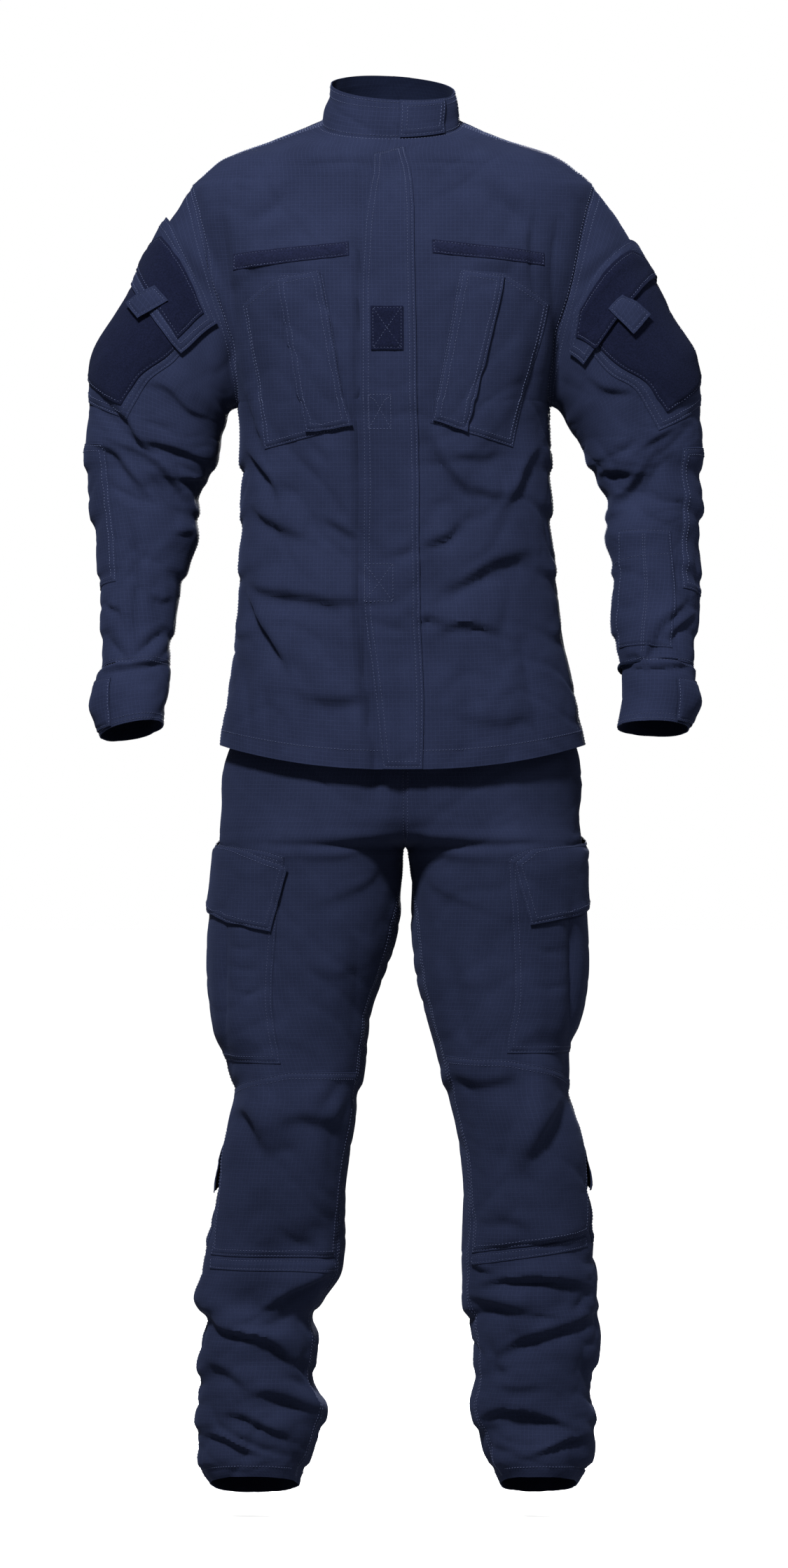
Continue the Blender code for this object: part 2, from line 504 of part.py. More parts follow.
def panel(name, form, closed=False):
    """A panel: the form itself is its outer side, and its wall goes inwards."""
    return finish(name, flat_cloth(form, closed), level(-WALL), level(0.0), CLOTH)


def fullness(outline, height, run, spread=0.0):
    """How high a full pocket stands: nothing at its outline, rising to its height over a run.

    What lies on the pocket starts to rise this spread outside the outline, to stay clear of it.
    """
    corners = [Vector(p) for p in outline]
    centre = sum(corners, Vector((0, 0))) / len(corners)
    sides = []
    for start, end in zip(corners, corners[1:] + corners[:1]):
        away = Vector((end.y - start.y, start.x - end.x)).normalized()
        sides.append((start, away * math.copysign(1, (centre - start).dot(away))))

    def at(round_, length):
        inside = min((Vector((round_, length)) - start).dot(inward) for start, inward in sides)
        return height * min(max((inside + spread) / run, 0.0), 1.0)

    return at


def mix(net, u, v):
    """A net's value between its rows and columns."""
    i = min(int(u), net.shape[0] - 2)
    j = min(int(v), net.shape[1] - 2)
    a, b = u - i, v - j
    near = net[i, j] * (1 - b) + net[i, j + 1] * b
    return near * (1 - a) + (net[i + 1, j] * (1 - b) + net[i + 1, j + 1] * b) * a


def spot(form, x, z, past=0.0):
    """The flat place of what the front view shows at (x, z), or this far past it round the form."""
    last = form.place.shape[1] - 1
    front = (2 * last) // 3
    place = form.place[:, : front + 1]
    away = np.hypot(place[..., 0] - x, place[..., 2] - z) + (form.out[:, : front + 1, 1] > 0.1)
    u, v = np.unravel_index(np.argmin(away), away.shape)
    u, v = float(u), float(v)
    rows = form.place.shape[0] - 1

    def miss(option):
        point = mix(form.place, *option)
        return math.hypot(point[0] - x, point[2] - z)

    step = 0.5
    while step > 0.002:
        options = [(u, v)]
        for a in (-step, 0.0, step):
            for b in (-step, 0.0, step):
                options.append((min(max(u + a, 0.0), rows), min(max(v + b, 0.0), last)))
        best = min(options, key=miss)
        if best == (u, v):
            step /= 2
        u, v = best
    if past:
        round_ = [mix(form.flat, u, column)[0] for column in range(last + 1)]
        v = float(np.interp(mix(form.flat, u, v)[0] + past, round_, range(last + 1)))
    flat = mix(form.flat, u, v)
    return (float(flat[0]), float(flat[1]))


def spots(form, outline):
    """Flat corners of an outline given in millimetres as seen from the front."""
    return [spot(form, x / 1000, z / 1000, *(far / 1000 for far in rest)) for x, z, *rest in outline]


def patch(name, form, outline, under=(), rise=None, wall=PATCH, finish_of=CLOTH):
    """A piece sewn on a form: cut flat to its outline and laid over what is under it, given by walls."""
    gap = ROOM if rise else SEAM
    rise = rise or level(0.0)
    lift = SEAM + sum(thickness + gap for thickness in under)
    return finish(
        name,
        cut_out(form, outline),
        lambda round_, length: lift + rise(round_, length),
        lambda round_, length: lift + wall + rise(round_, length),
        finish_of,
    )


def armhole(angle):
    """(height, depth) of the armhole's edge: angle 0 is the shoulder tip, 90 the front, 180 the armpit."""
    turn = math.radians(angle)
    middle = (ARMHOLE_HIGH + ARMHOLE_LOW) / 2
    half = (ARMHOLE_HIGH - ARMHOLE_LOW) / 2
    up = math.copysign(abs(math.cos(turn)) ** (2 / ARMHOLE_ROUND), math.cos(turn))
    reach = ARMHOLE_FRONT if math.sin(turn) > 0 else ARMHOLE_BACK
    return middle + half * up, reach * abs(math.sin(turn)) ** (2 / ARMHOLE_ROUND)


def body_rows():
    """(height, front opening, back opening) of each row of the jacket body, from the hem up."""
    rows = [(height, 0.0, 0.0) for height in HEM_TO_ARMHOLE]
    for step in range(ARMHOLE_STEPS + 1):
        angle = 180 - 180 * step / ARMHOLE_STEPS
        height, front = armhole(angle)
        back = armhole(-angle)[1]
        rows.append((height, front, back))
    return rows + [(height, 0.0, 0.0) for height in ARMHOLE_TO_NECK]


def body_forms():
    """The jacket body's front and back nets. Columns run from the wearer's left to the right."""
    fronts, backs = [], []
    for height, open_front, open_back in body_rows():
        row = along(BODY, height)
        edge_front = math.degrees(math.asin(min((open_front / row[3]) ** (BODY_ROUND / 2), 1)))
        edge_back = math.degrees(math.asin(min((open_back / row[4]) ** (BODY_ROUND / 2), 1)))
        half = BODY_STEPS + 1
        left = np.linspace(edge_front, 90, half)
        right = np.linspace(90, 180 - edge_front, half)[1:]
        fronts.append(body_ring(height, np.concatenate([left, right])))
        backs.append(body_ring(height, np.linspace(-edge_back, -180 + edge_back, 2 * half - 1)))
    front = make_form(np.array(fronts), False, BODY_STEPS)
    back = make_form(np.array(backs), False, BODY_STEPS)
    for i, (_, open_front, _) in enumerate(body_rows()):
        if open_front < 1e-6:
            for j in (0, -1):
                shared = unit(front.out[i, j] + back.out[i, j])
                front.out[i, j] = back.out[i, j] = shared
                shared_place = (front.place[i, j] + back.place[i, j]) / 2
                front.place[i, j] = back.place[i, j] = shared_place
    return front, back


def armhole_loop(front, back, column):
    """Places and outward directions round one armhole of the body, from the armpit by the front."""
    low = len(HEM_TO_ARMHOLE)
    high = low + ARMHOLE_STEPS
    up = range(low, high + 1)
    down = range(high - 1, low - 1, -1)
    place = [front.place[i, column] for i in up] + [back.place[i, column] for i in down]
    out = [front.out[i, column] for i in up] + [back.out[i, column] for i in down]
    return np.array(place), np.array(out)


def sleeve_form(table, loop):
    """A sleeve's closed net, from the armhole down. Columns start at the armpit and pass the front."""
    angles = np.linspace(180, -180, 2 * ARMHOLE_STEPS + 1)
    sections = [loop] + [sleeve_ring(table, row[0], angles) for row in table]
    stations = np.arange(len(sections), dtype=float)
    net = np.array(sections)
    slopes = np.gradient(net, stations, axis=0)
    rows = []
    for place in np.linspace(0, len(sections) - 1, SLEEVE_ROWS):
        i = min(int(place), len(sections) - 2)
        t = place - i
        rows.append(
            (1 + 2 * t) * (1 - t) ** 2 * net[i]
            + t * (1 - t) ** 2 * slopes[i]
            + t * t * (3 - 2 * t) * net[i + 1]
            - t * t * (1 - t) * slopes[i + 1]
        )
    return make_form(np.array(rows), True, ARMHOLE_STEPS // 2)


def seated(form, loop, loop_out):
    """The sleeve's first row shares the armhole's wall direction, one seam gap clear of its edge."""
    tangent = np.roll(loop[:-1], -1, axis=0) - np.roll(loop[:-1], 1, axis=0)
    tangent = np.concatenate([tangent, tangent[:1]])
    clear = unit(np.cross(tangent, loop_out))
    middle = loop[:-1].mean(axis=0)
    clear = clear * np.sign(np.sum(clear * (middle - loop)))
    form.out[0] = loop_out
    form.place[0] = loop + clear * SEAM
    return form


def leg_form(table):
    """One half of the trousers: front and back nets, each from its inner edge to the outer seam."""
    fronts, backs = [], []
    for height in LEG_ROWS:
        row = along(table, height)
        middle, half = (row[1] + row[2]) / 2, (row[1] - row[2]) / 2
        if height >= CROTCH:
            reach = (LEG_MIDDLE_X + math.copysign(SEAM / 2, half) - middle) / half
            reach = min(max(reach, -1.0), 1.0)
            across = math.copysign(abs(reach) ** (LEG_ROUND / 2), reach)
            inner = math.degrees(math.acos(across))
            inner_back = -inner
        else:
            fall = min((CROTCH - height) / INSEAM_FALL, 1.0)
            inner = 180 - (180 - INSEAM_ANGLE) * fall * fall * (3 - 2 * fall)
            inner_back = inner - 360
        fronts.append(leg_ring(table, height, np.linspace(inner, OUTSEAM_ANGLE, LEG_STEPS + 1)))
        backs.append(leg_ring(table, height, np.linspace(OUTSEAM_ANGLE, inner_back, LEG_STEPS + 1)))
    place = np.concatenate([np.array(fronts), np.array(backs)[:, 1:]], axis=1)
    form = make_form(place, False, LEG_STEPS // 2)
    for i, height in enumerate(LEG_ROWS):
        if height <= CROTCH:
            form.out[i, 0] = form.out[i, -1] = unit(form.out[i, 0] + form.out[i, -1])
            form.place[i, 0] = form.place[i, -1] = (form.place[i, 0] + form.place[i, -1]) / 2
        else:
            form.out[i, (0, -1), 0] = 0
            form.out[i] = unit(form.out[i])
            form.place[i, (0, -1), 0] = LEG_MIDDLE_X + math.copysign(SEAM / 2, table[0][1])
    return form


def build_jacket():
    front, back = body_forms()
    panel("jacket_front_left", columns(front, 0, BODY_STEPS))
    panel("jacket_front_right", columns(front, BODY_STEPS, 2 * BODY_STEPS))
    panel("jacket_back", columns(back, 0, 2 * BODY_STEPS))
    patch("front_placket", front, spots(front, PLACKET))
    patch("rank_tab", front, spots(front, RANK_TAB), (PATCH,), wall=LOOP, finish_of=TAPE)
    for side, tape, pocket, flap in (
        ("left", NAME_TAPE_LEFT, CHEST_POCKET_LEFT, CHEST_FLAP_LEFT),
        ("right", NAME_TAPE_RIGHT, CHEST_POCKET_RIGHT, CHEST_FLAP_RIGHT),
    ):
        patch(f"name_tape_{side}", front, spots(front, tape), wall=LOOP, finish_of=TAPE)
        patch(f"chest_pocket_{side}", front, spots(front, pocket))
        patch(f"chest_flap_{side}", front, spots(front, flap), (PATCH,))
    for side, table, column in (("left", SLEEVE_LEFT, 0), ("right", SLEEVE_RIGHT, -1)):
        loop, loop_out = armhole_loop(front, back, column)
        form = seated(sleeve_form(table, loop), loop, loop_out)
        last = 2 * ARMHOLE_STEPS
        panel(f"sleeve_{side}_front", columns(form, 0, SLEEVE_BACK_SEAM))
        panel(f"sleeve_{side}_back", columns(form, SLEEVE_BACK_SEAM, last))
        build_sleeve_pieces(side, form)
        build_cuff(side, form)


def build_sleeve_pieces(side, form):
    left = side == "left"
    pocket = spots(form, SLEEVE_POCKET_LEFT if left else SLEEVE_POCKET_RIGHT)
    full = [fullness(pocket, *SLEEVE_FULL, spread) for spread in SLEEVE_SPREADS[side]]
    flap = spots(form, SLEEVE_FLAP_LEFT if left else SLEEVE_FLAP_RIGHT)
    loop = spots(form, SLEEVE_LOOP_LEFT if left else SLEEVE_LOOP_RIGHT)
    flap_loop = spots(form, FLAP_LOOP_LEFT if left else FLAP_LOOP_RIGHT)
    pull_tab = spots(form, PULL_TAB_LEFT if left else PULL_TAB_RIGHT)
    elbow = spots(form, ELBOW_LEFT if left else ELBOW_RIGHT)
    below_flap = (PATCH, LOOP)
    patch(f"sleeve_pocket_{side}", form, pocket, (), full[0])
    patch(f"sleeve_loop_{side}", form, loop, (PATCH,), full[1], LOOP, TAPE)
    patch(f"sleeve_flap_{side}", form, flap, below_flap, full[2])
    patch(f"flap_loop_{side}", form, flap_loop, (*below_flap, PATCH), full[3], LOOP, TAPE)
    patch(f"pull_tab_{side}", form, pull_tab, (*below_flap, PATCH, LOOP), full[4])
    patch(f"elbow_patch_{side}", form, elbow)
    if left:
        patch("pen_pocket", form, spots(form, PEN_POCKET))


def build_cuff(side, sleeve):
    """The cuff hangs from the sleeve's last ring, one seam gap below it."""
    table, tab = (CUFF_LEFT, CUFF_TAB_LEFT) if side == "left" else (CUFF_RIGHT, CUFF_TAB_RIGHT)
    angles = np.linspace(180, -180, 2 * ARMHOLE_STEPS + 1)
    top = sleeve.place[-1] + unit(sleeve.place[-1] - sleeve.place[-2]) * SEAM
    rows = [top] + [sleeve_ring(table, station, angles) for station in (0, 1, 2)]
    form = make_form(np.array(rows), True, ARMHOLE_STEPS // 2)
    form.out[0] = sleeve.out[-1]
    panel(f"cuff_{side}", form, closed=True)
    outline = spots(form, tab)
    patch(f"cuff_tab_{side}", form, outline, (), fullness(outline, *CUFF_TAB_FULL))


def build_collar():
    angles = np.linspace(-90, 270, 4 * BODY_STEPS + 1)
    rows = []
    for station in (0.0004, 0.016, 0.032, 0.046):
        _, left_x, right_x, left_z, right_z, front, back, tilt = along(COLLAR, station)
        rows.append(ring((left_x, left_z), (right_x, right_z), 0, front, back, -tilt, COLLAR_ROUND, angles))
    form = make_form(np.array(rows), True, 2 * BODY_STEPS)
    panel("jacket_collar", form, closed=True)
    patch("collar_tab", form, spots(form, COLLAR_TAB))


def build_trousers():
    for side, table in (("left", LEG_LEFT), ("right", LEG_RIGHT)):
        form = leg_form(table)
        panel(f"trouser_front_{side}", columns(form, 0, LEG_STEPS))
        panel(f"trouser_back_{side}", columns(form, LEG_STEPS, 2 * LEG_STEPS))
        build_leg_pieces(side, form)
    build_waistband()


def build_leg_pieces(side, form):
    left = side == "left"
    cargo = spots(form, CARGO_POCKET_LEFT if left else CARGO_POCKET_RIGHT)
    calf = spots(form, CALF_POCKET_LEFT if left else CALF_POCKET_RIGHT)
    cargo_flap = spots(form, CARGO_FLAP_LEFT if left else CARGO_FLAP_RIGHT)
    calf_flap = spots(form, CALF_FLAP_LEFT if left else CALF_FLAP_RIGHT)
    patch(f"cargo_pocket_{side}", form, cargo, (), fullness(cargo, *CARGO_FULL))
    patch(f"cargo_flap_{side}", form, cargo_flap, (PATCH,), fullness(cargo, *CARGO_FULL, SPREAD))
    patch(f"knee_patch_{side}", form, spots(form, KNEE_PATCH_LEFT if left else KNEE_PATCH_RIGHT))
    patch(f"knee_strip_{side}", form, spots(form, KNEE_STRIP_LEFT if left else KNEE_STRIP_RIGHT))
    patch(f"calf_pocket_{side}", form, calf, (), fullness(calf, *CALF_FULL))
    patch(f"calf_flap_{side}", form, calf_flap, (PATCH,), fullness(calf, *CALF_FULL, SPREAD))


def build_waistband():
    angles = np.linspace(-90, 270, 4 * LEG_STEPS + 1)
    rows = []
    for height in (WAIST_LOW, WAIST_HIGH):
        left, right = along(LEG_LEFT, WAIST_LOW), along(LEG_RIGHT, WAIST_LOW)
        rows.append(ring((left[1], height), (right[1], height), 0, left[4], left[5], 0, LEG_ROUND, angles))
    panel("waistband", make_form(np.array(rows), True, 2 * LEG_STEPS), closed=True)


def main():
    for thing in list(bpy.data.objects):
        bpy.data.objects.remove(thing)
    build_jacket()
    build_collar()
    build_trousers()


main()
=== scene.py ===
"""Navy two-piece field uniform: cloth, folds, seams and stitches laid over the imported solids."""

import math
from collections import namedtuple

import bmesh
import bpy
import numpy as np
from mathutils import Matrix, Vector
from mathutils.bvhtree import BVHTree


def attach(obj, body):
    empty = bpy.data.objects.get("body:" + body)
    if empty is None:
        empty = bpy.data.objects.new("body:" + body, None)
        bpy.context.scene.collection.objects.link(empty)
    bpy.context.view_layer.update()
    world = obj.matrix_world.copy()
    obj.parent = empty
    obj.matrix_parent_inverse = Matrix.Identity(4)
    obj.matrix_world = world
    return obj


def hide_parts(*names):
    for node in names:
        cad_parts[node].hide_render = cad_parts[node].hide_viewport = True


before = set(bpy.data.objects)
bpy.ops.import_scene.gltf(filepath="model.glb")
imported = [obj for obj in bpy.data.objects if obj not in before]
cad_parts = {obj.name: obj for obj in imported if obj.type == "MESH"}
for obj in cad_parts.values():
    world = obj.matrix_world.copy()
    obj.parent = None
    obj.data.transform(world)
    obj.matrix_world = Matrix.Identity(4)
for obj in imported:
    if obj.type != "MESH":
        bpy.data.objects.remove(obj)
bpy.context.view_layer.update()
bpy.ops.object.select_all(action="DESELECT")

MM = 0.001
PIXEL = 0.84 * MM  # what one pixel of the photograph measures on the uniform
PICTURE_WIDE, PICTURE_HIGH = 1125, 2240
MIDDLE_PX, SHOULDER_PX = 562, 190  # the pixel of the part's origin

SOLID_WALL = 1.6 * MM  # thickness of a panel's solid
WALL_SLACK = 0.03 * MM
SAME_PLACE = 0.01 * MM  # points of a solid that are closer than this are one point
PANEL_WALL = 1.5 * MM
PATCH_WALL = 1.0 * MM
PATCH_LIFT = 1.5 * MM  # top side of what is sewn straight on a panel
LAYER = 2.1 * MM  # each further layer lies this much higher
EDGE_TURN = 1.6 * MM  # how far in from its edge a sewn-on piece turns under
PATCH_CELL = 4.5 * MM  # how far apart the points of a sewn-on piece are
STRAIGHT = 1.5 * MM  # a corner of an outline that stands off less than this is left out
SEAM_DEPTH = 1.3 * MM
SMOOTH_BELOW = math.radians(50)
FAR_EDGE = 0.25  # no sewn-on piece reaches this far to either side of its middle

STITCH_STEP = 3.9 * MM
STITCH_LONG = 2.5 * MM
STITCH_WIDE = 0.8 * MM
STITCH_LIFT = 0.3 * MM
STITCH_IN = 2.4 * MM  # how far inside an edge its stitches run
SECOND_ROW = 8 * MM  # how far inside an edge a second row of stitches runs
SEAM_ROWS = (2.5 * MM, 9 * MM)  # how far from a seam its two rows of stitches run
EDGE_ROW = 3 * MM  # how far from an edge that goes round the garment its stitches run
JACKET_HEM, TROUSER_HEM = 20 * MM, 16 * MM

# Steps between the points of a solid's net, and what its rows and columns are.
BODY_DOWN, BODY_ACROSS = 8, 9
SLEEVE_DOWN, SLEEVE_ACROSS = 10, 9
LEG_DOWN, LEG_ACROSS = 7, 9
TUBE_STEPS, BAND_STEPS = 8, 6
LINE_STEPS = 4  # between the points of a fold's line or of the neck edge
PANEL_COLUMNS = 7  # from a side or inner seam to the middle of the jacket or to the outer seam
SLEEVE_COLUMNS = {"front": 11, "back": 5}  # columns of a sleeve's two panels
ORDER = {"left": ("front", "back"), "right": ("back", "front")}  # of two panels in one net
ARMHOLE_TOP_ROW, ARMHOLE_LOW_ROW = 5, 13  # rows of the jacket's nets, from the neck down
DRAWN_ROWS = 4  # of a folded sleeve, that follow its first row on to the armhole
CROTCH_ROW = 7  # row of the leg nets where the legs part, from the waist down
TROUSER_MIDDLE = 0.014  # where the seams between the legs lie across
STILL_ROWS = {"jacket": 10, "collar": -8}  # rows near the neck over which creases fade out
FOLD_REACH = 4  # how many widths from its line a fold is felt
# Cloth that faces a view less than the first has none of its folds, and all of them past the second.
FACING_NONE, FACING_FULL = 0.25, 0.70

FLOOR = -1.66

# A form is a net of points round the body, a sleeve or a leg: its places, outward directions and
# flat pattern, with rows from the top down and columns to the right as seen from outside.
Form = namedtuple("Form", "place out flat")

# A patch is a piece sewn on a form: its corners in the form's flat pattern, how high it lies, the
# swell of the pocket that it is or lies on, and how far its edge stands off.
Patch = namedtuple("Patch", "form corners lift full_corners full run loose")

# The stitches of each garment: places, directions ahead and outward directions.
stitches = {"jacket": [], "trousers": []}


def seen(px, py):
    """Where the front view shows a pixel of the photograph, across and up."""
    return ((px - MIDDLE_PX) * PIXEL, (SHOULDER_PX - py) * PIXEL)


def unit(vectors):
    return vectors / np.maximum(np.linalg.norm(vectors, axis=-1, keepdims=True), 1e-12)


def finer(points, steps, closed=False):
    """More points along the first axis of a net, on a smooth curve through its own points."""
    slopes = np.gradient(points, axis=0)
    if closed:
        slopes[0] = slopes[-1] = (points[1] - points[-2]) / 2
    t = (np.arange(steps) / steps).reshape((1, steps) + (1,) * (points.ndim - 1))
    start, end = points[:-1, None], points[1:, None]
    leave, arrive = slopes[:-1, None], slopes[1:, None]
    curve = (
        (1 + 2 * t) * (1 - t) ** 2 * start
        + t * (1 - t) ** 2 * leave
        + t * t * (3 - 2 * t) * end
        - t * t * (1 - t) * arrive
    )
    return np.concatenate([curve.reshape((-1,) + points.shape[1:]), points[-1:]])


def outer_sheet(node):
    """The outer side of a solid wall of cloth, as an open mesh."""
    shell = bmesh.new()
    shell.from_mesh(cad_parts[node].data)
    bmesh.ops.remove_doubles(shell, verts=shell.verts[:], dist=SAME_PLACE)
    rim = []
    for face in shell.faces:
        if any(abs(edge.calc_length() - SOLID_WALL) < WALL_SLACK for edge in face.edges):
            rim.append(face)
    bmesh.ops.delete(shell, geom=rim, context="FACES")
    sheets, left = [], set(shell.faces)
    while left:
        sheet, edge_of_sheet = set(), [left.pop()]
        while edge_of_sheet:
            face = edge_of_sheet.pop()
            sheet.add(face)
            for edge in face.edges:
                for other in edge.link_faces:
                    if other in left:
                        left.remove(other)
                        edge_of_sheet.append(other)
        sheets.append(sheet)
    keep = max(sheets, key=lambda sheet: sum(face.calc_area() for face in sheet))
    bmesh.ops.delete(shell, geom=[f for f in shell.faces if f not in keep], context="FACES")
    return shell


def edge_loops(shell):
    """The open edges of a sheet as loops of points in order."""
    loops, left = [], {e for e in shell.edges if e.is_boundary}
    while left:
        edge = left.pop()
        loop = [edge.verts[0], edge.verts[1]]
        while True:
            ahead = [e for e in loop[-1].link_edges if e in left]
            if not ahead:
                break
            left.remove(ahead[0])
            loop.append(ahead[0].other_vert(loop[-1]))
        loops.append(loop[:-1] if loop[0] == loop[-1] else loop)
    return loops


def next_row(row, done, tube):
    """The points of a net's next row, in the order of the row above."""
    near = {e.other_vert(point) for point in row for e in point.link_edges} - done
    if len(near) < len(row):
        return []
    edges = [e for e in row[0].link_edges if e.other_vert(row[0]) in near]
    if not tube:
        edges = [e for e in edges if e.is_boundary]
    found = [min(edges, key=lambda e: e.calc_length()).other_vert(row[0])]
    while len(found) < len(row):
        ahead = [e.other_vert(found[-1]) for e in found[-1].link_edges]
        ahead = [point for point in ahead if point in near and point not in found]
        found.append(min(ahead, key=lambda point: (point.co - row[len(found)].co).length))
    return found


def outer_net(node, across=0, start=None):
    """Rows and columns of a panel's outer side. A tube is closed, and starts near a point."""
    shell = outer_sheet(node)
    loops = edge_loops(shell)
    if start is None:
        loop = loops[0]
        corners = [i for i, point in enumerate(loop) if len(point.link_edges) < 4]
        loop = loop[corners[0] :] + loop[: corners[0] + 1]
        corners = [i for i, point in enumerate(loop) if len(point.link_edges) < 4]
        sides = [loop[a : b + 1] for a, b in zip(corners, corners[1:])]
        sides = [side for side in sides if len(side) == across]
        row = max(sides, key=lambda side: sum(point.co.z for point in side))
    else:
        row = max(loops, key=lambda side: sum(point.co.z for point in side))
        first = min(range(len(row)), key=lambda i: (row[i].co - Vector(start)).length)
        row = row[first:] + row[:first]
    rows, done = [], set()
    while row:
        rows.append(row)
        done.update(row)
        row = next_row(row, done, start is not None)
    net = np.array([[point.co[:] for point in row] for row in rows])
    shared = set(rows[0][1].link_faces) & set(rows[0][2].link_faces)
    turn = np.cross(net[1, 1] - net[0, 1], net[0, 2] - net[0, 1])
    if turn @ np.array(shared.pop().normal) < 0:
        net = np.concatenate([net[:, :1], net[:, :0:-1]], axis=1) if start else net[:, ::-1]
    if start:
        net = np.concatenate([net, net[:, :1]], axis=1)
    shell.free()
    return net


def side_by_side(first, second):
    """One net of two panels that share a seam."""
    seam = (first[:, -1:] + second[:, :1]) / 2
    return np.concatenate([first[:, :-1], seam, second[:, 1:]], axis=1)


def dense(net, down, across, closed=False):
    net = finer(net, down)
    return finer(net.transpose(1, 0, 2), across, closed).transpose(1, 0, 2)


def outward(place, closed=False):
    down = np.gradient(place, axis=0)
    right = np.gradient(place, axis=1)
    if closed:
        right[:, 0] = right[:, -1] = (place[:, 1] - place[:, -2]) / 2
    return unit(np.cross(down, right))


def passed_lengths(points):
    """How far along a line each of its points is."""
    steps = np.linalg.norm(np.diff(points, axis=0), axis=1)
    return np.concatenate([[0.0], np.cumsum(steps)])


def flat_pattern(place):
    """The cloth laid flat: distance round from the middle column, and mean distance down."""
    widths = np.linalg.norm(np.diff(place, axis=1), axis=2)
    across = np.concatenate([np.zeros((len(place), 1)), np.cumsum(widths, axis=1)], axis=1)
    across -= across[:, [place.shape[1] // 2]]
    steps = np.linalg.norm(np.diff(place, axis=0), axis=2).mean(axis=1)
    length = np.concatenate([[0.0], np.cumsum(steps)])
    return np.stack([across, np.repeat(length[:, None], place.shape[1], axis=1)], axis=2)


def pull_rows(place, target, reach):
    """Moves a net's first row on to a target, and the rows after it less and less."""
    shift = target - place[0]
    for i in range(reach):
        place[i] += shift * (0.5 + 0.5 * math.cos(math.pi * i / reach))


def pull_column(place, column, rows, target, reach):
    """Moves part of a net's edge column on to a target, and the columns beside it less and less."""
    shift = target - place[rows, column]
    step = 1 if column == 0 else -1
    for i in range(reach):
        place[rows, column + step * i] += shift * (0.5 + 0.5 * math.cos(math.pi * i / reach))


def jacket_forms():
    """The jacket's front and back, which share their side and shoulder seams."""
    panels = [outer_net(f"jacket_front_{side}", PANEL_COLUMNS + 1) for side in ("right", "left")]
    front = dense(side_by_side(*panels), BODY_DOWN, BODY_ACROSS)
    back = dense(outer_net("jacket_back", 2 * PANEL_COLUMNS + 1), BODY_DOWN, BODY_ACROSS)
    low, high = ARMHOLE_LOW_ROW * BODY_DOWN, ARMHOLE_TOP_ROW * BODY_DOWN
    shared = {}
    for rows in (slice(0, high + 1), slice(low, None)):
        for column, other in ((0, -1), (-1, 0)):
            seam = (front[rows, column] + back[rows, other]) / 2
            pull_column(front, column, rows, seam, BODY_ACROSS)
            pull_column(back, other, rows, seam, BODY_ACROSS)
            shared[column, rows.start] = (rows, column, other)
    fronts = Form(front, outward(front), flat_pattern(front))
    backs = Form(back, outward(back), flat_pattern(back))
    for rows, column, other in shared.values():
        both = unit(fronts.out[rows, column] + backs.out[rows, other])
        fronts.out[rows, column] = backs.out[rows, other] = both
    return fronts, backs


def armhole_edge(net_front, net_back, side):
    """The edge of one armhole from the armpit round, as its sleeve's first row runs."""
    rows = slice(ARMHOLE_TOP_ROW * BODY_DOWN, ARMHOLE_LOW_ROW * BODY_DOWN + 1)
    if side == "left":
        up, down = net_front[rows, -1][::-1], net_back[rows, 0]
    else:
        up, down = net_back[rows, -1][::-1], net_front[rows, 0]
    return np.concatenate([up, down[1:]])


def at_share(points, shares):
    """Points at these shares of a line's own steps."""
    place = shares * (len(points) - 1)
    i = np.minimum(place.astype(int), len(points) - 2)
    part = (place - i)[:, None]
    return points[i] * (1 - part) + points[i + 1] * part


def sleeve_net(side, fronts, backs):
    panels = [outer_net(f"sleeve_{side}_{part}", SLEEVE_COLUMNS[part] + 1) for part in ORDER[side]]
    net = side_by_side(*panels)
    net[:, 0] = net[:, -1] = (net[:, 0] + net[:, -1]) / 2
    place = dense(net, SLEEVE_DOWN, SLEEVE_ACROSS, closed=True)
    shares = np.linspace(0, 1, place.shape[1])
    edge = at_share(armhole_edge(fronts.place, backs.place, side), shares)
    pull_rows(place, edge, 2 * SLEEVE_DOWN)
    out = outward(place, closed=True)
    out[0] = unit(at_share(armhole_edge(fronts.out, backs.out, side), shares))
    return Form(place, out, flat_pattern(place))


def cuff_form(side, sleeve):
    start = tuple(sleeve.place[-1, 0])
    place = dense(outer_net(f"cuff_{side}", start=start), TUBE_STEPS, SLEEVE_ACROSS, closed=True)
    pull_rows(place, sleeve.place[-1], TUBE_STEPS)
    out = outward(place, closed=True)
    out[0] = unit(out[0] + sleeve.out[-1])
    return Form(place, out, flat_pattern(place))


def leg_form(side):
    panels = [outer_net(f"trouser_{part}_{side}", PANEL_COLUMNS + 1) for part in ORDER[side]]
    place = dense(side_by_side(*panels), LEG_DOWN, LEG_ACROSS)
    out = outward(place)
    seam_rows = CROTCH_ROW * LEG_DOWN
    inseam = (place[seam_rows:, 0] + place[seam_rows:, -1]) / 2
    for column in (0, -1):
        pull_column(place, column, slice(seam_rows, None), inseam, LEG_ACROSS)
        place[:seam_rows, column, 0] = TROUSER_MIDDLE
        out[:seam_rows, column, 0] = 0
    both = out[seam_rows:, 0] + out[seam_rows:, -1]
    out[seam_rows:, 0] = out[seam_rows:, -1] = both
    return Form(place, unit(out), flat_pattern(place))


def tube_form(node, start, down):
    place = dense(outer_net(node, start=start), down, TUBE_STEPS, closed=True)
    return Form(place, outward(place, closed=True), flat_pattern(place))


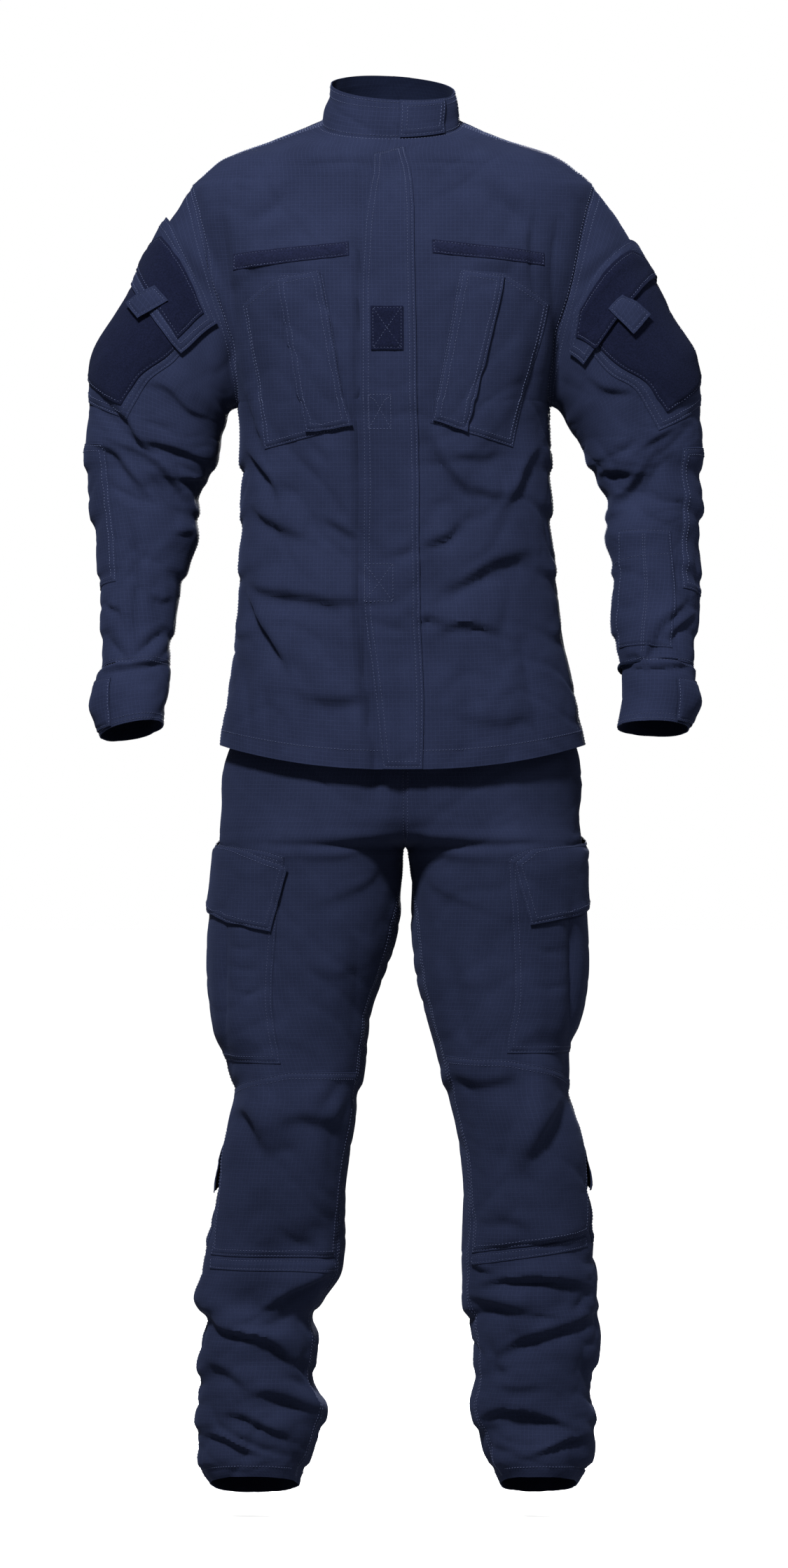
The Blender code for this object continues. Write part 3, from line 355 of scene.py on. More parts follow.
# The folds. A row has a fold's style, its width and height in millimetres, and the points of its
# line. In the front and back views these are pixels of the photograph, as seen from the front; in
# the left and right views they are millimetres, depth and height. A groove has soft shoulders, a
# roll is a rounded ridge, and a step is a fold that hangs over its neighbour: for a positive height
# it is raised on the left of its line.
FRONT_FOLDS = (
    # chest and armholes
    ("groove", 6, 1.6, (430, 246), (480, 240), (529, 241)),
    ("groove", 6, 1.6, (590, 241), (640, 240), (692, 245)),
    ("step", 8, 3, (318, 428), (358, 394), (400, 388), (440, 394)),
    ("step", 8, 3, (664, 391), (715, 389), (752, 401)),
    ("groove", 12, 5, (316, 300), (326, 400), (335, 480), (330, 550)),
    ("groove", 12, 5, (798, 300), (789, 400), (797, 470), (789, 550)),
    ("groove", 9, 3, (352, 300), (348, 360), (356, 420)),
    ("step", 11, -3.5, (760, 300), (752, 372), (760, 440)),
    ("groove", 12, 5, (420, 260), (396, 300), (352, 330)),
    ("groove", 13, 6, (688, 262), (720, 300), (764, 334)),
    # belly
    ("step", 9, 6.2, (350, 548), (362, 600), (384, 650)),
    ("step", 10, 7.5, (346, 640), (370, 668), (388, 692), (397, 716)),
    ("step", 14, 6.2, (350, 716), (372, 740), (400, 758), (436, 774)),
    ("step", 15, 7.5, (344, 828), (380, 848), (430, 856), (470, 864), (516, 862)),
    ("step", 9, 8.1, (346, 836), (372, 890), (395, 930), (412, 958)),
    ("step", 9, 3.8, (458, 744), (490, 762), (518, 778)),
    ("step", 14, 4.4, (420, 992), (470, 1004), (530, 998)),
    ("groove", 12, 5, (344, 935), (354, 1000), (362, 1075)),
    ("groove", 12, 3.8, (378, 975), (384, 1040), (380, 1085)),
    ("groove", 7, 3.1, (446, 640), (454, 652), (464, 668)),
    ("step", 9, 6.2, (609, 612), (625, 655), (650, 690), (676, 720)),
    ("step", 11, -5.6, (772, 640), (751, 672), (738, 705), (716, 734)),
    ("step", 12, 3.1, (640, 654), (680, 660), (716, 652)),
    ("step", 12, 3.8, (664, 700), (700, 712), (730, 712)),
    ("step", 10, 5.6, (600, 784), (635, 773), (658, 748)),
    ("step", 18, 7.5, (632, 852), (670, 830), (700, 812), (760, 792)),
    ("step", 7, 5, (592, 894), (610, 886), (632, 894)),
    ("step", 8, 5.6, (624, 914), (645, 898), (680, 898), (714, 908)),
    ("groove", 6, 2.5, (548, 800), (570, 798), (594, 790)),
    ("groove", 5, 2.5, (526, 866), (538, 870), (552, 870)),
    ("groove", 6, 2.5, (550, 898), (566, 902), (580, 900)),
    ("groove", 7, 6, (518, 200), (514, 400), (512, 600), (511, 790), (513, 930)),
    ("groove", 10, 10, (512, 830), (519, 940), (528, 1030), (541, 1150)),
    ("groove", 18, 4.4, (660, 940), (668, 1010), (664, 1090)),
    ("groove", 18, 5, (742, 900), (756, 990), (770, 1070)),
    ("step", 16, 3.1, (640, 1020), (700, 1034), (770, 1024)),
    ("groove", 16, 6, (348, 410), (360, 500), (380, 610)),
    ("groove", 14, 4, (778, 410), (764, 500), (742, 610)),
    # upper sleeves
    ("groove", 8, 4, (238, 339), (280, 396), (318, 456)),
    ("step", 11, -5, (284, 321), (292, 357), (313, 410), (325, 445)),
    ("groove", 12, 6, (338, 455), (330, 520), (342, 592)),
    ("groove", 8, 4, (889, 353), (856, 384), (822, 420)),
    ("groove", 12, 6, (788, 440), (796, 520), (786, 590)),
    ("step", 9, 3.5, (210, 552), (240, 560), (270, 590), (300, 600)),
    ("step", 9, 3.5, (835, 540), (860, 560), (900, 566)),
    # forearm on the left of the view
    ("step", 9, 6, (146, 560), (180, 598), (205, 640), (222, 656)),
    ("groove", 6, 3, (130, 577), (160, 600), (190, 630), (240, 665)),
    ("step", 10, 6.5, (172, 637), (205, 652), (235, 676), (262, 715), (288, 750)),
    ("groove", 7, 4, (190, 650), (220, 690), (250, 725), (282, 752)),
    ("step", 9, 5, (126, 632), (150, 642), (168, 652), (184, 676), (208, 704)),
    ("groove", 7, 3, (156, 694), (190, 712), (236, 726)),
    ("step", 10, 6, (210, 631), (240, 640), (270, 652), (304, 666)),
    ("groove", 8, 3, (203, 604), (230, 612), (258, 630)),
    ("step", 9, 6, (252, 684), (275, 686), (302, 690)),
    ("groove", 6, 3, (250, 664), (268, 672), (286, 681)),
    ("groove", 9, 5.5, (182, 738), (190, 770), (195, 820), (194, 880), (189, 946)),
    ("groove", 8, 2.5, (206, 794), (225, 805), (242, 808)),
    ("step", 7, 3, (252, 764), (268, 764), (284, 760)),
    ("step", 7, 3.5, (146, 860), (160, 868), (178, 877)),
    ("groove", 7, 4, (150, 903), (168, 925), (186, 946)),
    ("groove", 7, 5, (190, 946), (215, 922), (244, 900)),
    ("step", 10, 3, (216, 850), (232, 860), (252, 856)),
    # forearm on the right of the view
    ("step", 10, 6, (848, 684), (872, 676), (904, 679)),
    ("step", 11, 6.5, (858, 760), (880, 722), (905, 692), (924, 662)),
    ("groove", 11, 4, (905, 727), (920, 700), (940, 668), (968, 650)),
    ("groove", 8, 3.5, (862, 657), (890, 646), (908, 628)),
    ("step", 9, 3.5, (912, 646), (935, 630), (962, 614)),
    ("groove", 8, 3, (925, 662), (956, 640), (988, 604)),
    ("step", 9, 5.5, (916, 954), (930, 915), (945, 890), (984, 858)),
    ("step", 8, 4.5, (942, 918), (970, 896), (997, 874)),
    ("step", 7, 3, (890, 943), (904, 938), (918, 947)),
    ("groove", 12, 3, (962, 716), (980, 728), (998, 732)),
    ("groove", 8, 2, (874, 866), (892, 870), (908, 868)),
    ("step", 9, 3, (966, 800), (980, 812), (996, 812)),
    # where the sleeves gather into their cuffs
    ("step", 6, 4, (128, 968), (150, 960), (200, 952), (252, 946)),
    ("step", 6, 4, (878, 950), (920, 955), (996, 950)),
    # hips and thighs
    ("groove", 8, 9, (331, 1300), (327, 1400), (329, 1520)),
    ("groove", 8, 9, (806, 1276), (808, 1390), (805, 1514)),
    ("step", 14, 1.5, (430, 1226), (500, 1222), (556, 1192)),
    ("step", 14, 1.5, (584, 1192), (640, 1224), (712, 1230)),
    ("step", 13, 2, (452, 1292), (520, 1266), (560, 1224)),
    ("step", 13, 2, (582, 1224), (622, 1270), (690, 1300)),
    ("groove", 12, 3, (505, 1330), (512, 1400), (500, 1500)),
    ("groove", 12, 3, (640, 1350), (652, 1420), (672, 1500)),
    ("step", 14, 1.5, (428, 1370), (470, 1392), (520, 1380)),
    ("step", 14, 1.5, (640, 1400), (680, 1410), (716, 1390)),
    ("groove", 5, 2, (330, 1316), (345, 1320), (362, 1318)),
    ("groove", 9, 2.5, (572, 1110), (571, 1150), (568, 1196)),
    ("groove", 5, 2, (334, 1348), (350, 1354), (368, 1350)),
    ("groove", 5, 2, (336, 1376), (352, 1384), (374, 1380)),
    ("groove", 5, 2, (336, 1412), (354, 1418), (380, 1412)),
    ("groove", 5, 2, (760, 1352), (780, 1358), (800, 1352)),
    ("groove", 5, 2, (756, 1404), (778, 1410), (800, 1402)),
    # knees
    ("roll", 20, 12, (385, 1490), (386, 1560), (388, 1640)),
    ("step", 17, 5, (396, 1604), (420, 1594), (450, 1596), (500, 1610)),
    ("step", 14, 8, (322, 1596), (348, 1588), (366, 1600), (384, 1650)),
    ("groove", 8, 3, (452, 1586), (474, 1560), (494, 1532)),
    ("groove", 8, 3, (470, 1612), (488, 1590), (500, 1566)),
    ("step", 10, 3, (396, 1740), (420, 1762), (446, 1772)),
    ("groove", 9, 3, (478, 1600), (472, 1660), (484, 1700)),
    ("roll", 19, 12, (760, 1490), (762, 1560), (752, 1650)),
    ("groove", 14, 6, (732, 1530), (734, 1600), (706, 1680)),
    ("step", 16, 6, (640, 1536), (690, 1544), (738, 1534)),
    ("step", 16, 7, (742, 1668), (768, 1622), (798, 1578), (826, 1546)),
    ("groove", 8, 3, (650, 1540), (664, 1552), (678, 1562)),
    ("groove", 5, 2.2, (660, 1602), (668, 1606), (676, 1612)),
    ("groove", 5, 2.2, (662, 1620), (672, 1626), (682, 1636)),
    ("groove", 5, 2.2, (664, 1640), (676, 1648), (686, 1658)),
    ("groove", 5, 2.2, (668, 1660), (680, 1668), (690, 1680)),
    ("step", 7, 2.5, (684, 1777), (716, 1774), (748, 1766)),
    ("step", 7, 3, (752, 1772), (800, 1766), (840, 1752)),
    ("step", 12, 3, (700, 1744), (730, 1740), (760, 1752)),
    # lower leg on the left of the view
    ("step", 12, 8.4, (372, 1872), (410, 1848), (450, 1829), (496, 1812)),
    (
        "step", 10, 8.4, (276, 1866), (300, 1882), (318, 1896), (350, 1903), (385, 1912),
        (405, 1930), (422, 1956),
    ),
    ("groove", 7, 4.2, (410, 1960), (422, 1970), (436, 1980)),
    ("step", 13, 5.4, (288, 1944), (320, 1954), (356, 1982)),
    ("step", 12, 7.8, (362, 1990), (382, 1986), (414, 1996), (462, 2016)),
    ("step", 9, 6.6, (314, 2018), (345, 2018), (370, 2030), (416, 2050)),
    ("groove", 6, 3.6, (300, 2000), (312, 2030), (345, 2050), (390, 2070), (434, 2080)),
    ("step", 8, 6, (280, 2046), (318, 2050), (350, 2066), (378, 2074)),
    ("groove", 8, 3.6, (330, 1888), (380, 1890), (430, 1868)),
    # lower leg on the right of the view
    ("step", 10, 7.8, (684, 1834), (720, 1824), (770, 1822), (812, 1828), (840, 1840)),
    ("step", 16, 8.4, (662, 1850), (710, 1861), (758, 1870)),
    ("groove", 7, 4.2, (816, 1874), (826, 1856), (840, 1840)),
    ("step", 13, 9, (704, 1938), (740, 1912), (780, 1900), (820, 1888), (864, 1870)),
    ("step", 9, 6.6, (684, 2028), (712, 2012), (745, 2012), (780, 2022), (816, 2035)),
    ("groove", 7, 3, (696, 2040), (730, 2056), (770, 2058), (804, 2042)),
    ("step", 8, 6, (758, 2074), (790, 2062), (815, 2052), (852, 2050)),
    ("groove", 9, 4.8, (690, 2060), (710, 2068), (734, 2070)),
    ("groove", 7, 3, (700, 1948), (712, 1956), (726, 1956)),
    ("step", 10, 3, (710, 1976), (740, 1980), (772, 1974)),
    ("step", 7, 3.6, (668, 1803), (686, 1808), (706, 1813)),
    ("groove", 10, 4.8, (690, 1900), (704, 1934), (700, 1990)),
)
BACK_FOLDS = (
    # back of the jacket
    ("groove", 9, 2, (440, 330), (560, 342), (690, 330)),
    ("step", 18, 5, (352, 500), (430, 600), (540, 690)),
    ("step", 18, 5, (590, 690), (700, 600), (776, 500)),
    ("groove", 20, 4, (562, 360), (556, 480), (564, 620)),
    ("step", 14, 5, (350, 650), (440, 712), (560, 736)),
    ("step", 14, 5, (574, 752), (690, 712), (782, 650)),
    ("step", 15, 5, (350, 770), (450, 800), (590, 786)),
    ("step", 15, 5, (540, 836), (670, 850), (788, 806)),
    ("step", 14, 4, (346, 890), (460, 916), (600, 896)),
    ("step", 14, 4, (560, 930), (690, 934), (800, 900)),
    ("groove", 18, 4, (430, 900), (424, 990), (428, 1080)),
    ("groove", 18, 4, (566, 950), (572, 1020), (562, 1090)),
    ("groove", 18, 4, (700, 950), (708, 1020), (712, 1080)),
    ("groove", 12, 6, (326, 330), (330, 430), (338, 540)),
    ("groove", 12, 6, (798, 330), (794, 430), (786, 540)),
    # backs of the sleeves, first the one on the left of the front view
    ("step", 10, 3, (146, 570), (236, 600), (290, 574)),
    ("step", 12, 2.5, (168, 598), (224, 652), (288, 670)),
    ("step", 13, 4, (144, 688), (192, 712), (286, 710)),
    ("step", 10, 2.5, (140, 758), (212, 762), (280, 738)),
    ("groove", 8, 4, (190, 780), (200, 850), (196, 930)),
    ("step", 10, 2.5, (172, 810), (214, 846), (248, 852)),
    ("step", 12, 2, (150, 910), (182, 924), (236, 894)),
    ("step", 10, 4, (870, 558), (906, 600), (990, 582)),
    ("step", 12, 3, (856, 652), (924, 654), (984, 618)),
    ("step", 13, 3, (862, 734), (902, 716), (996, 666)),
    ("step", 10, 2, (892, 744), (936, 768), (1000, 760)),
    ("groove", 8, 4, (930, 780), (938, 850), (930, 930)),
    ("step", 10, 3, (872, 856), (944, 856), (970, 820)),
    ("step", 12, 2, (912, 892), (912, 932), (990, 926)),
    ("step", 6, 4, (128, 968), (150, 960), (200, 952), (252, 946)),
    ("step", 10, 2, (904, 934), (902, 961), (996, 966)),
    # seat and thighs
    ("step", 16, 5, (350, 1216), (450, 1250), (560, 1236)),
    ("step", 16, 5, (586, 1236), (690, 1250), (800, 1216)),
    ("step", 14, 2.5, (410, 1306), (476, 1322), (548, 1284)),
    ("step", 16, 2, (592, 1308), (684, 1322), (738, 1282)),
    ("groove", 20, 4, (420, 1330), (412, 1400), (420, 1480)),
    ("groove", 20, 4, (706, 1330), (716, 1400), (708, 1480)),
    # behind the knees and the lower legs
    ("step", 15, 4.5, (352, 1500), (392, 1542), (506, 1528)),
    ("step", 11, 3, (322, 1582), (406, 1600), (482, 1566)),
    ("step", 12, 3, (354, 1614), (414, 1650), (474, 1654)),
    ("step", 15, 2, (326, 1718), (372, 1734), (470, 1710)),
    ("step", 11, 4.5, (636, 1530), (726, 1538), (812, 1498)),
    ("step", 13, 3, (676, 1562), (744, 1598), (804, 1588)),
    ("step", 14, 3, (664, 1644), (722, 1662), (812, 1624)),
    ("step", 11, 2, (714, 1696), (746, 1730), (826, 1732)),
    ("step", 14, 4.5, (296, 1826), (384, 1842), (458, 1820)),
    ("step", 15, 3, (284, 1910), (332, 1916), (440, 1864)),
    ("step", 12, 4, (316, 1934), (376, 1976), (446, 1982)),
    ("step", 11, 2, (286, 2026), (364, 2030), (414, 2010)),
    ("step", 12, 3, (330, 2048), (342, 2092), (428, 2092)),
    ("step", 12, 3, (682, 1832), (766, 1850), (846, 1816)),
    ("step", 13, 4, (684, 1904), (784, 1904), (846, 1872)),
    ("step", 16, 2.5, (710, 1946), (742, 1986), (848, 1970)),
    ("step", 9, 4, (684, 2032), (766, 2040), (836, 2004)),
    ("step", 10, 2, (734, 2052), (778, 2086), (824, 2092)),
)
LEFT_FOLDS = (
    ("step", 13, 2.8, (-62, -392), (0, -406), (64, -384)),
    ("step", 13, 2.8, (-66, -446), (-4, -462), (54, -438)),
    ("step", 12, 2.8, (-80, -520), (-24, -536), (30, -512)),
    ("step", 12, 2.2, (-86, -590), (-44, -606), (2, -588)),
    ("groove", 17, 2.2, (-90, -960), (-80, -1040), (-84, -1110)),
    ("step", 17, 2.2, (-80, -1130), (0, -1146), (80, -1124)),
    ("step", 15, 2.8, (-72, -1396), (0, -1414), (78, -1392)),
    ("step", 15, 3.3, (-68, -1462), (4, -1484), (80, -1460)),
    ("step", 13, 2.8, (-62, -1530), (4, -1550), (76, -1530)),
    ("step", 11, 2.2, (-54, -1586), (4, -1600), (66, -1584)),
)
RIGHT_FOLDS = (
    ("step", 13, 2.8, (-64, -384), (0, -404), (62, -388)),
    ("step", 13, 2.8, (-54, -452), (4, -468), (66, -446)),
    ("step", 12, 2.8, (-80, -518), (-24, -534), (30, -514)),
    ("step", 12, 2.2, (-86, -594), (-44, -606), (2, -588)),
    ("groove", 17, 2.2, (-90, -960), (-80, -1040), (-84, -1110)),
    ("step", 17, 2.2, (-80, -1124), (0, -1146), (80, -1130)),
    ("step", 15, 2.8, (-78, -1400), (0, -1418), (72, -1402)),
    ("step", 15, 3.3, (-80, -1472), (-4, -1490), (68, -1470)),
    ("step", 13, 2.8, (-76, -1540), (-4, -1554), (62, -1536)),
    ("step", 11, 2.2, (-66, -1590), (-4, -1602), (54, -1588)),
)

# The axis across a view, the axis towards it, the side of that axis that faces it, and its folds.
View = namedtuple("View", "across toward side folds")
VIEWS = (
    View(0, 1, -1, FRONT_FOLDS),
    View(0, 1, 1, BACK_FOLDS),
    View(1, 0, 1, LEFT_FOLDS),
    View(1, 0, -1, RIGHT_FOLDS),
)


def rising(values, start, over):
    """0 up to a start, then rising to 1 over a range, and 1 from there."""
    return np.clip((values - start) / over, 0, 1)


def fold_profile(across, style):
    """Height of a fold of width 1 at distances across it."""
    if style == "roll":
        return np.exp(-(across**2))
    if style == "step":
        reach = np.where(across > 0, 2.6, 1.3)
        return np.tanh(3.5 * across) * np.exp(-((across / reach) ** 2)) * np.where(across > 0, 1, 0.8)
    shoulders = np.exp(-((across - 1.6) ** 2) / 1.2) + np.exp(-((across + 1.6) ** 2) / 1.2)
    return 0.4 * shoulders - np.exp(-1.5 * np.abs(across))


def fold_line(view, line):
    """A fold's points in metres, on a smooth curve."""
    if view.across == 0:
        points = [seen(*point) for point in line]
    else:
        points = [(depth * MM, height * MM) for depth, height in line]
    return finer(np.array(points), LINE_STEPS)


def nearest_on(line, spots):
    """Distance to a line, the share of its length passed and the side of it, for each spot."""
    passed = passed_lengths(line)
    best = np.full(len(spots), 1e9)
    share, side = np.zeros(len(spots)), np.zeros(len(spots))
    for i, step in enumerate(np.diff(passed)):
        along = (line[i + 1] - line[i]) / step
        offset = spots - line[i]
        t = np.clip(offset @ along, 0, step)
        away = offset - t[:, None] * along
        distance = np.linalg.norm(away, axis=1)
        closer = distance < best
        best[closer] = distance[closer]
        share[closer] = (passed[i] + t[closer]) / passed[-1]
        turn = along[0] * away[:, 1] - along[1] * away[:, 0]
        side[closer] = np.sign(turn[closer])
    return best, share, side


def fold_height(place, out):
    """How far the folds move each point along its outward direction."""
    total = np.zeros(place.shape[:-1])
    for view in VIEWS:
        flat = place[..., [view.across, 2]]
        facing = out[..., view.toward] * view.side
        for style, width, height, *points in view.folds:
            width *= MM
            line = fold_line(view, points)
            reach = FOLD_REACH * width
            low, high = line.min(axis=0) - reach, line.max(axis=0) + reach
            near = np.all((flat > low) & (flat < high), axis=-1) & (facing > FACING_NONE)
            if not near.any():
                continue
            distance, share, side = nearest_on(line, flat[near])
            turned = rising(facing[near], FACING_NONE, FACING_FULL - FACING_NONE)
            fade = np.sin(np.pi * np.clip(share, 0.02, 0.98)) ** 0.7
            total[near] += height * MM * fold_profile(distance * side / width, style) * fade * turned
    return total


def cloud(points, size, seed):
    """Smooth random numbers from -1 to 1 in lumps of a given size."""
    place = points / size
    cell = np.floor(place).astype(np.int64)
    part = place - cell
    part = part * part * (3 - 2 * part)
    total = np.zeros(points.shape[:-1])
    for corner in np.ndindex(2, 2, 2):
        key = cell + np.array(corner)
        mixed = (key[..., 0] * 73856093) ^ (key[..., 1] * 19349663) ^ (key[..., 2] * 83492791)
        mixed = (mixed ^ (seed * 2654435761)) & 0xFFFFFF
        mixed = (mixed * 1103515245 + 12345) & 0x7FFFFFFF
        value = (mixed >> 8) / float(0x7FFFFFFF >> 8) * 2 - 1
        weight = np.prod(np.where(np.array(corner) == 1, part, 1 - part), axis=-1)
        total += value * weight
    return total


def looseness(place):
    """How strongly the cloth is creased: most on the forearms and below the knees."""
    aside, height = np.abs(place[..., 0]), place[..., 2]
    forearm = rising(aside, 0.215, 0.02) * rising(-height, 0.27, 0.08)
    lower_leg = rising(-height, 1.22, 0.12)
    belly = rising(-height, 0.30, 0.10) * rising(height, -0.72, 0.05)
    return 1 + 0.6 * forearm + 0.9 * lower_leg + 0.4 * belly * (1 - forearm)


def valleys(place, size, seed):
    """1 along the bottoms of sharp valleys, 0 between them."""
    return np.clip(1 - np.abs(cloud(place, size, seed)) * 2.2, 0, 1) ** 2


def crumple(place):
    """Small creases all over: sharp valleys between soft lumps."""
    warp = np.stack([cloud(place, 0.07, seed) for seed in (1, 2, 3)], axis=-1) * 0.03
    slanted = place + warp
    slanted[..., 2] += 0.8 * np.abs(np.abs(place[..., 0]) - 0.15)
    large = valleys(slanted, (0.095, 0.095, 0.045), 4)
    small = valleys(place + warp * 0.5, (0.030, 0.030, 0.016), 5)
    lumps = cloud(place, 0.09, 6)
    loose = looseness(place)
    return -1.5 * MM * loose * large - 0.55 * MM * loose * small + 1.8 * MM * lumps


def folded(form, closed=False, seams=(), still=0):
    """A form with its folds, small creases and the dips at its seams.

    Creases fade out over some still rows towards its top edge, or its bottom edge if below zero.
    """
    height = fold_height(form.place, form.out) + crumple(form.place)
    if still:
        moving = np.clip(np.arange(len(height)) / abs(still), 0, 1) ** 2
        height *= (moving if still > 0 else moving[::-1])[:, None]
    place = form.place + form.out * height[..., None]
    out = outward(place, closed)
    out[:, (0, -1)] = form.out[:, (0, -1)]
    out[(0, -1), :] = form.out[(0, -1), :]
    for column in seams:
        place[:, column] -= form.out[:, column] * SEAM_DEPTH
    return Form(place, out, form.flat)


def net_faces(rows, columns):
    """Four-sided faces between the points of a net, numbered row by row."""
    faces = []
    for i in range(rows - 1):
        for j in range(columns - 1):
            a = i * columns + j
            faces.append((a, a + columns, a + columns + 1, a + 1))
    return faces


def new_object(name, data):
    """A new object in the scene, at its origin."""
    made = bpy.data.objects.new(name, data)
    bpy.context.scene.collection.objects.link(made)
    return made


def cloth_object(name, points, flat, wall, finish_of):
    """A sheet of cloth from a net of points, with its flat pattern as its UV map."""
    rows, columns = points.shape[:2]
    mesh = bpy.data.meshes.new(name)
    mesh.from_pydata(points.reshape(-1, 3).tolist(), [], net_faces(rows, columns))
    pattern = mesh.uv_layers.new(name="pattern")
    corner_point = np.zeros(len(mesh.loops), np.int32)
    mesh.loops.foreach_get("vertex_index", corner_point)
    pattern.data.foreach_set("uv", flat.reshape(-1, 2)[corner_point].astype(np.float32).ravel())
    mesh.materials.append(finish_of)
    # The inner side of the sheet takes a darker copy of its cloth: painted shade for the inside that
    # lies in shadow.
    mesh.materials.append(TROUSER_INSIDE_SHADED if finish_of == TROUSER_CLOTH else JACKET_INSIDE_SHADED)
    piece = new_object(name, mesh)
    thickness = piece.modifiers.new("thickness", "SOLIDIFY")
    thickness.thickness = wall
    thickness.offset = -1.0
    thickness.material_offset = 1
    thickness.use_even_offset = False
    bpy.context.view_layer.objects.active = piece
    piece.select_set(True)
    bpy.ops.object.modifier_apply(modifier=thickness.name)
    bpy.ops.object.shade_smooth_by_angle(angle=SMOOTH_BELOW)
    piece.select_set(False)
    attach(piece, "root")
    return piece


def panel(node, form, first, last, finish_of):
    """A panel of the garment, made from its columns of a form in place of its solid."""
    points = form.place[:, first : last + 1]
    flat = form.flat[:, first : last + 1]
    piece = cloth_object(f"{node}_cloth", points, flat, PANEL_WALL, finish_of)
    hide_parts(node)


def tube_panel(node, form, finish_of):
    """A panel that goes all the way round."""
    panel(node, form, 0, form.place.shape[1] - 1, finish_of)


def net_at(net, rows, columns):
    """Values of a net between its rows and columns."""
    i = np.clip(rows.astype(int), 0, net.shape[0] - 2)
    j = np.clip(columns.astype(int), 0, net.shape[1] - 2)
    a, b = (rows - i)[..., None], (columns - j)[..., None]
    upper = net[i, j] * (1 - b) + net[i, j + 1] * b
    lower = net[i + 1, j] * (1 - b) + net[i + 1, j + 1] * b
    return upper * (1 - a) + lower * a


def on_form(form, flat):
    """Places and outward directions on a form of points in its flat pattern."""
    lengths = form.flat[:, 0, 1]
    spots = flat.reshape(-1, 2)
    rows = np.interp(spots[:, 1], lengths, np.arange(len(lengths)))
    i = np.clip(rows.astype(int), 0, len(lengths) - 2)
    part = (rows - i)[:, None]
    across = form.flat[i, :, 0] * (1 - part) + form.flat[i + 1, :, 0] * part
    places = np.arange(across.shape[1])
    columns = np.array([np.interp(spot, line, places) for spot, line in zip(spots[:, 0], across)])
    place = net_at(form.place, rows, columns)
    out = unit(net_at(form.out, rows, columns))
    return place.reshape(flat.shape[:-1] + (3,)), out.reshape(flat.shape[:-1] + (3,))


class Pattern:
    """Finds the flat place on a form of points near it."""

    def __init__(self, form):
        self.form = form
        rows, columns = form.place.shape[:2]
        self.columns = columns
        points = form.place.reshape(-1, 3).tolist()
        self.tree = BVHTree.FromPolygons(points, net_faces(rows, columns))

    def flat(self, point):
        spot, _, index, _ = self.tree.find_nearest(Vector(point))
        i, j = divmod(index, self.columns - 1)
        place, flat = self.form.place, self.form.flat
        down, right = place[i + 1, j] - place[i, j], place[i, j + 1] - place[i, j]
        away = np.array(spot) - place[i, j]
        a = min(max(away @ down / max(down @ down, 1e-12), 0), 1)
        b = min(max(away @ right / max(right @ right, 1e-12), 0), 1)
        return flat[i, j] + a * (flat[i + 1, j] - flat[i, j]) + b * (flat[i, j + 1] - flat[i, j])

    def outline(self, node):
        """The corners of a sewn-on piece's solid in the flat pattern, in order round it."""
        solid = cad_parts[node].data
        spots = np.array([self.flat(point.co) for point in solid.vertices])
        # A point close to where the form's two edges meet may be found on the far one.
        middle = np.median(spots[:, 0])
        for spot in spots:
            if abs(spot[0] - middle) > FAR_EDGE:
                edge = self.form.flat[:, -1 if middle > spot[0] else 0]
                spot[0] = edge[np.abs(edge[:, 1] - spot[1]).argmin(), 0]
        spots = np.unique(spots.round(5), axis=0)
        corners = []
        for way in (1, -1):
            chain = []
            for spot in spots[::way]:
                while len(chain) > 1:
                    (ax, ay), (bx, by) = chain[-1] - chain[-2], spot - chain[-1]
                    if ax * by - ay * bx > 0:
                        break
                    chain.pop()
                chain.append(spot)
            corners += chain[:-1]
        return straightened(corners)


def straightened(corners):
    """An outline without the corners that hardly stand off the line past them."""
    corners = list(corners)
    while len(corners) > 4:
        heights = []
        for i, corner in enumerate(corners):
            before, after = corners[i - 1], corners[(i + 1) % len(corners)]
            line, away = after - before, corner - before
            area = abs(line[0] * away[1] - line[1] * away[0])
            heights.append(area / max(np.linalg.norm(line), 1e-9))
        flattest = int(np.argmin(heights))
        if heights[flattest] > STRAIGHT:
            break
        corners.pop(flattest)
    return np.array(corners)


def inward_sides(corners):
    """Each side of an outline as a point and its inward direction."""
    centre = corners.mean(axis=0)
    sides = []
    for start, end in zip(corners, np.roll(corners, -1, axis=0)):
        line = (end - start) / np.linalg.norm(end - start)
        inward = np.array([-line[1], line[0]])
        if inward @ (centre - start) < 0:
            inward = -inward
        sides.append((start, inward))
    return sides


def inside(corners, flat):
    """How far inside an outline points of the flat pattern lie."""
    reach = [(flat - start) @ inward for start, inward in inward_sides(corners)]
    return np.min(reach, axis=0)


def inset(corners, distance):
    """The outline drawn in by a distance."""
    sides = inward_sides(corners)
    drawn = []
    for (start, inward), (last_start, last_inward) in zip(sides, [sides[-1]] + sides[:-1]):
        system = np.array([inward, last_inward])
        values = np.array([inward @ start + distance, last_inward @ last_start + distance])
        drawn.append(np.linalg.solve(system, values))
    return np.array(drawn)


def four_sides(corners):
    """An outline's points as four sides: top, right, bottom and left of a net."""
    before = corners - np.roll(corners, 1, axis=0)
    after = np.roll(corners, -1, axis=0) - corners
    cross = before[:, 0] * after[:, 1] - before[:, 1] * after[:, 0]
    turn = np.abs(np.arctan2(cross, (before * after).sum(axis=1)))
    main = sorted(np.argsort(-turn)[:4])
    sides = []
    for a, b in zip(main, main[1:] + [main[0] + len(corners)]):
        sides.append(np.array([corners[i % len(corners)] for i in range(a, b + 1)]))
    return sides


def along_line(points, shares):
    """Points at these shares of a line's length."""
    passed = passed_lengths(points)
    passed /= passed[-1]
    return np.stack([np.interp(shares, passed, points[:, k]) for k in range(2)], axis=1)


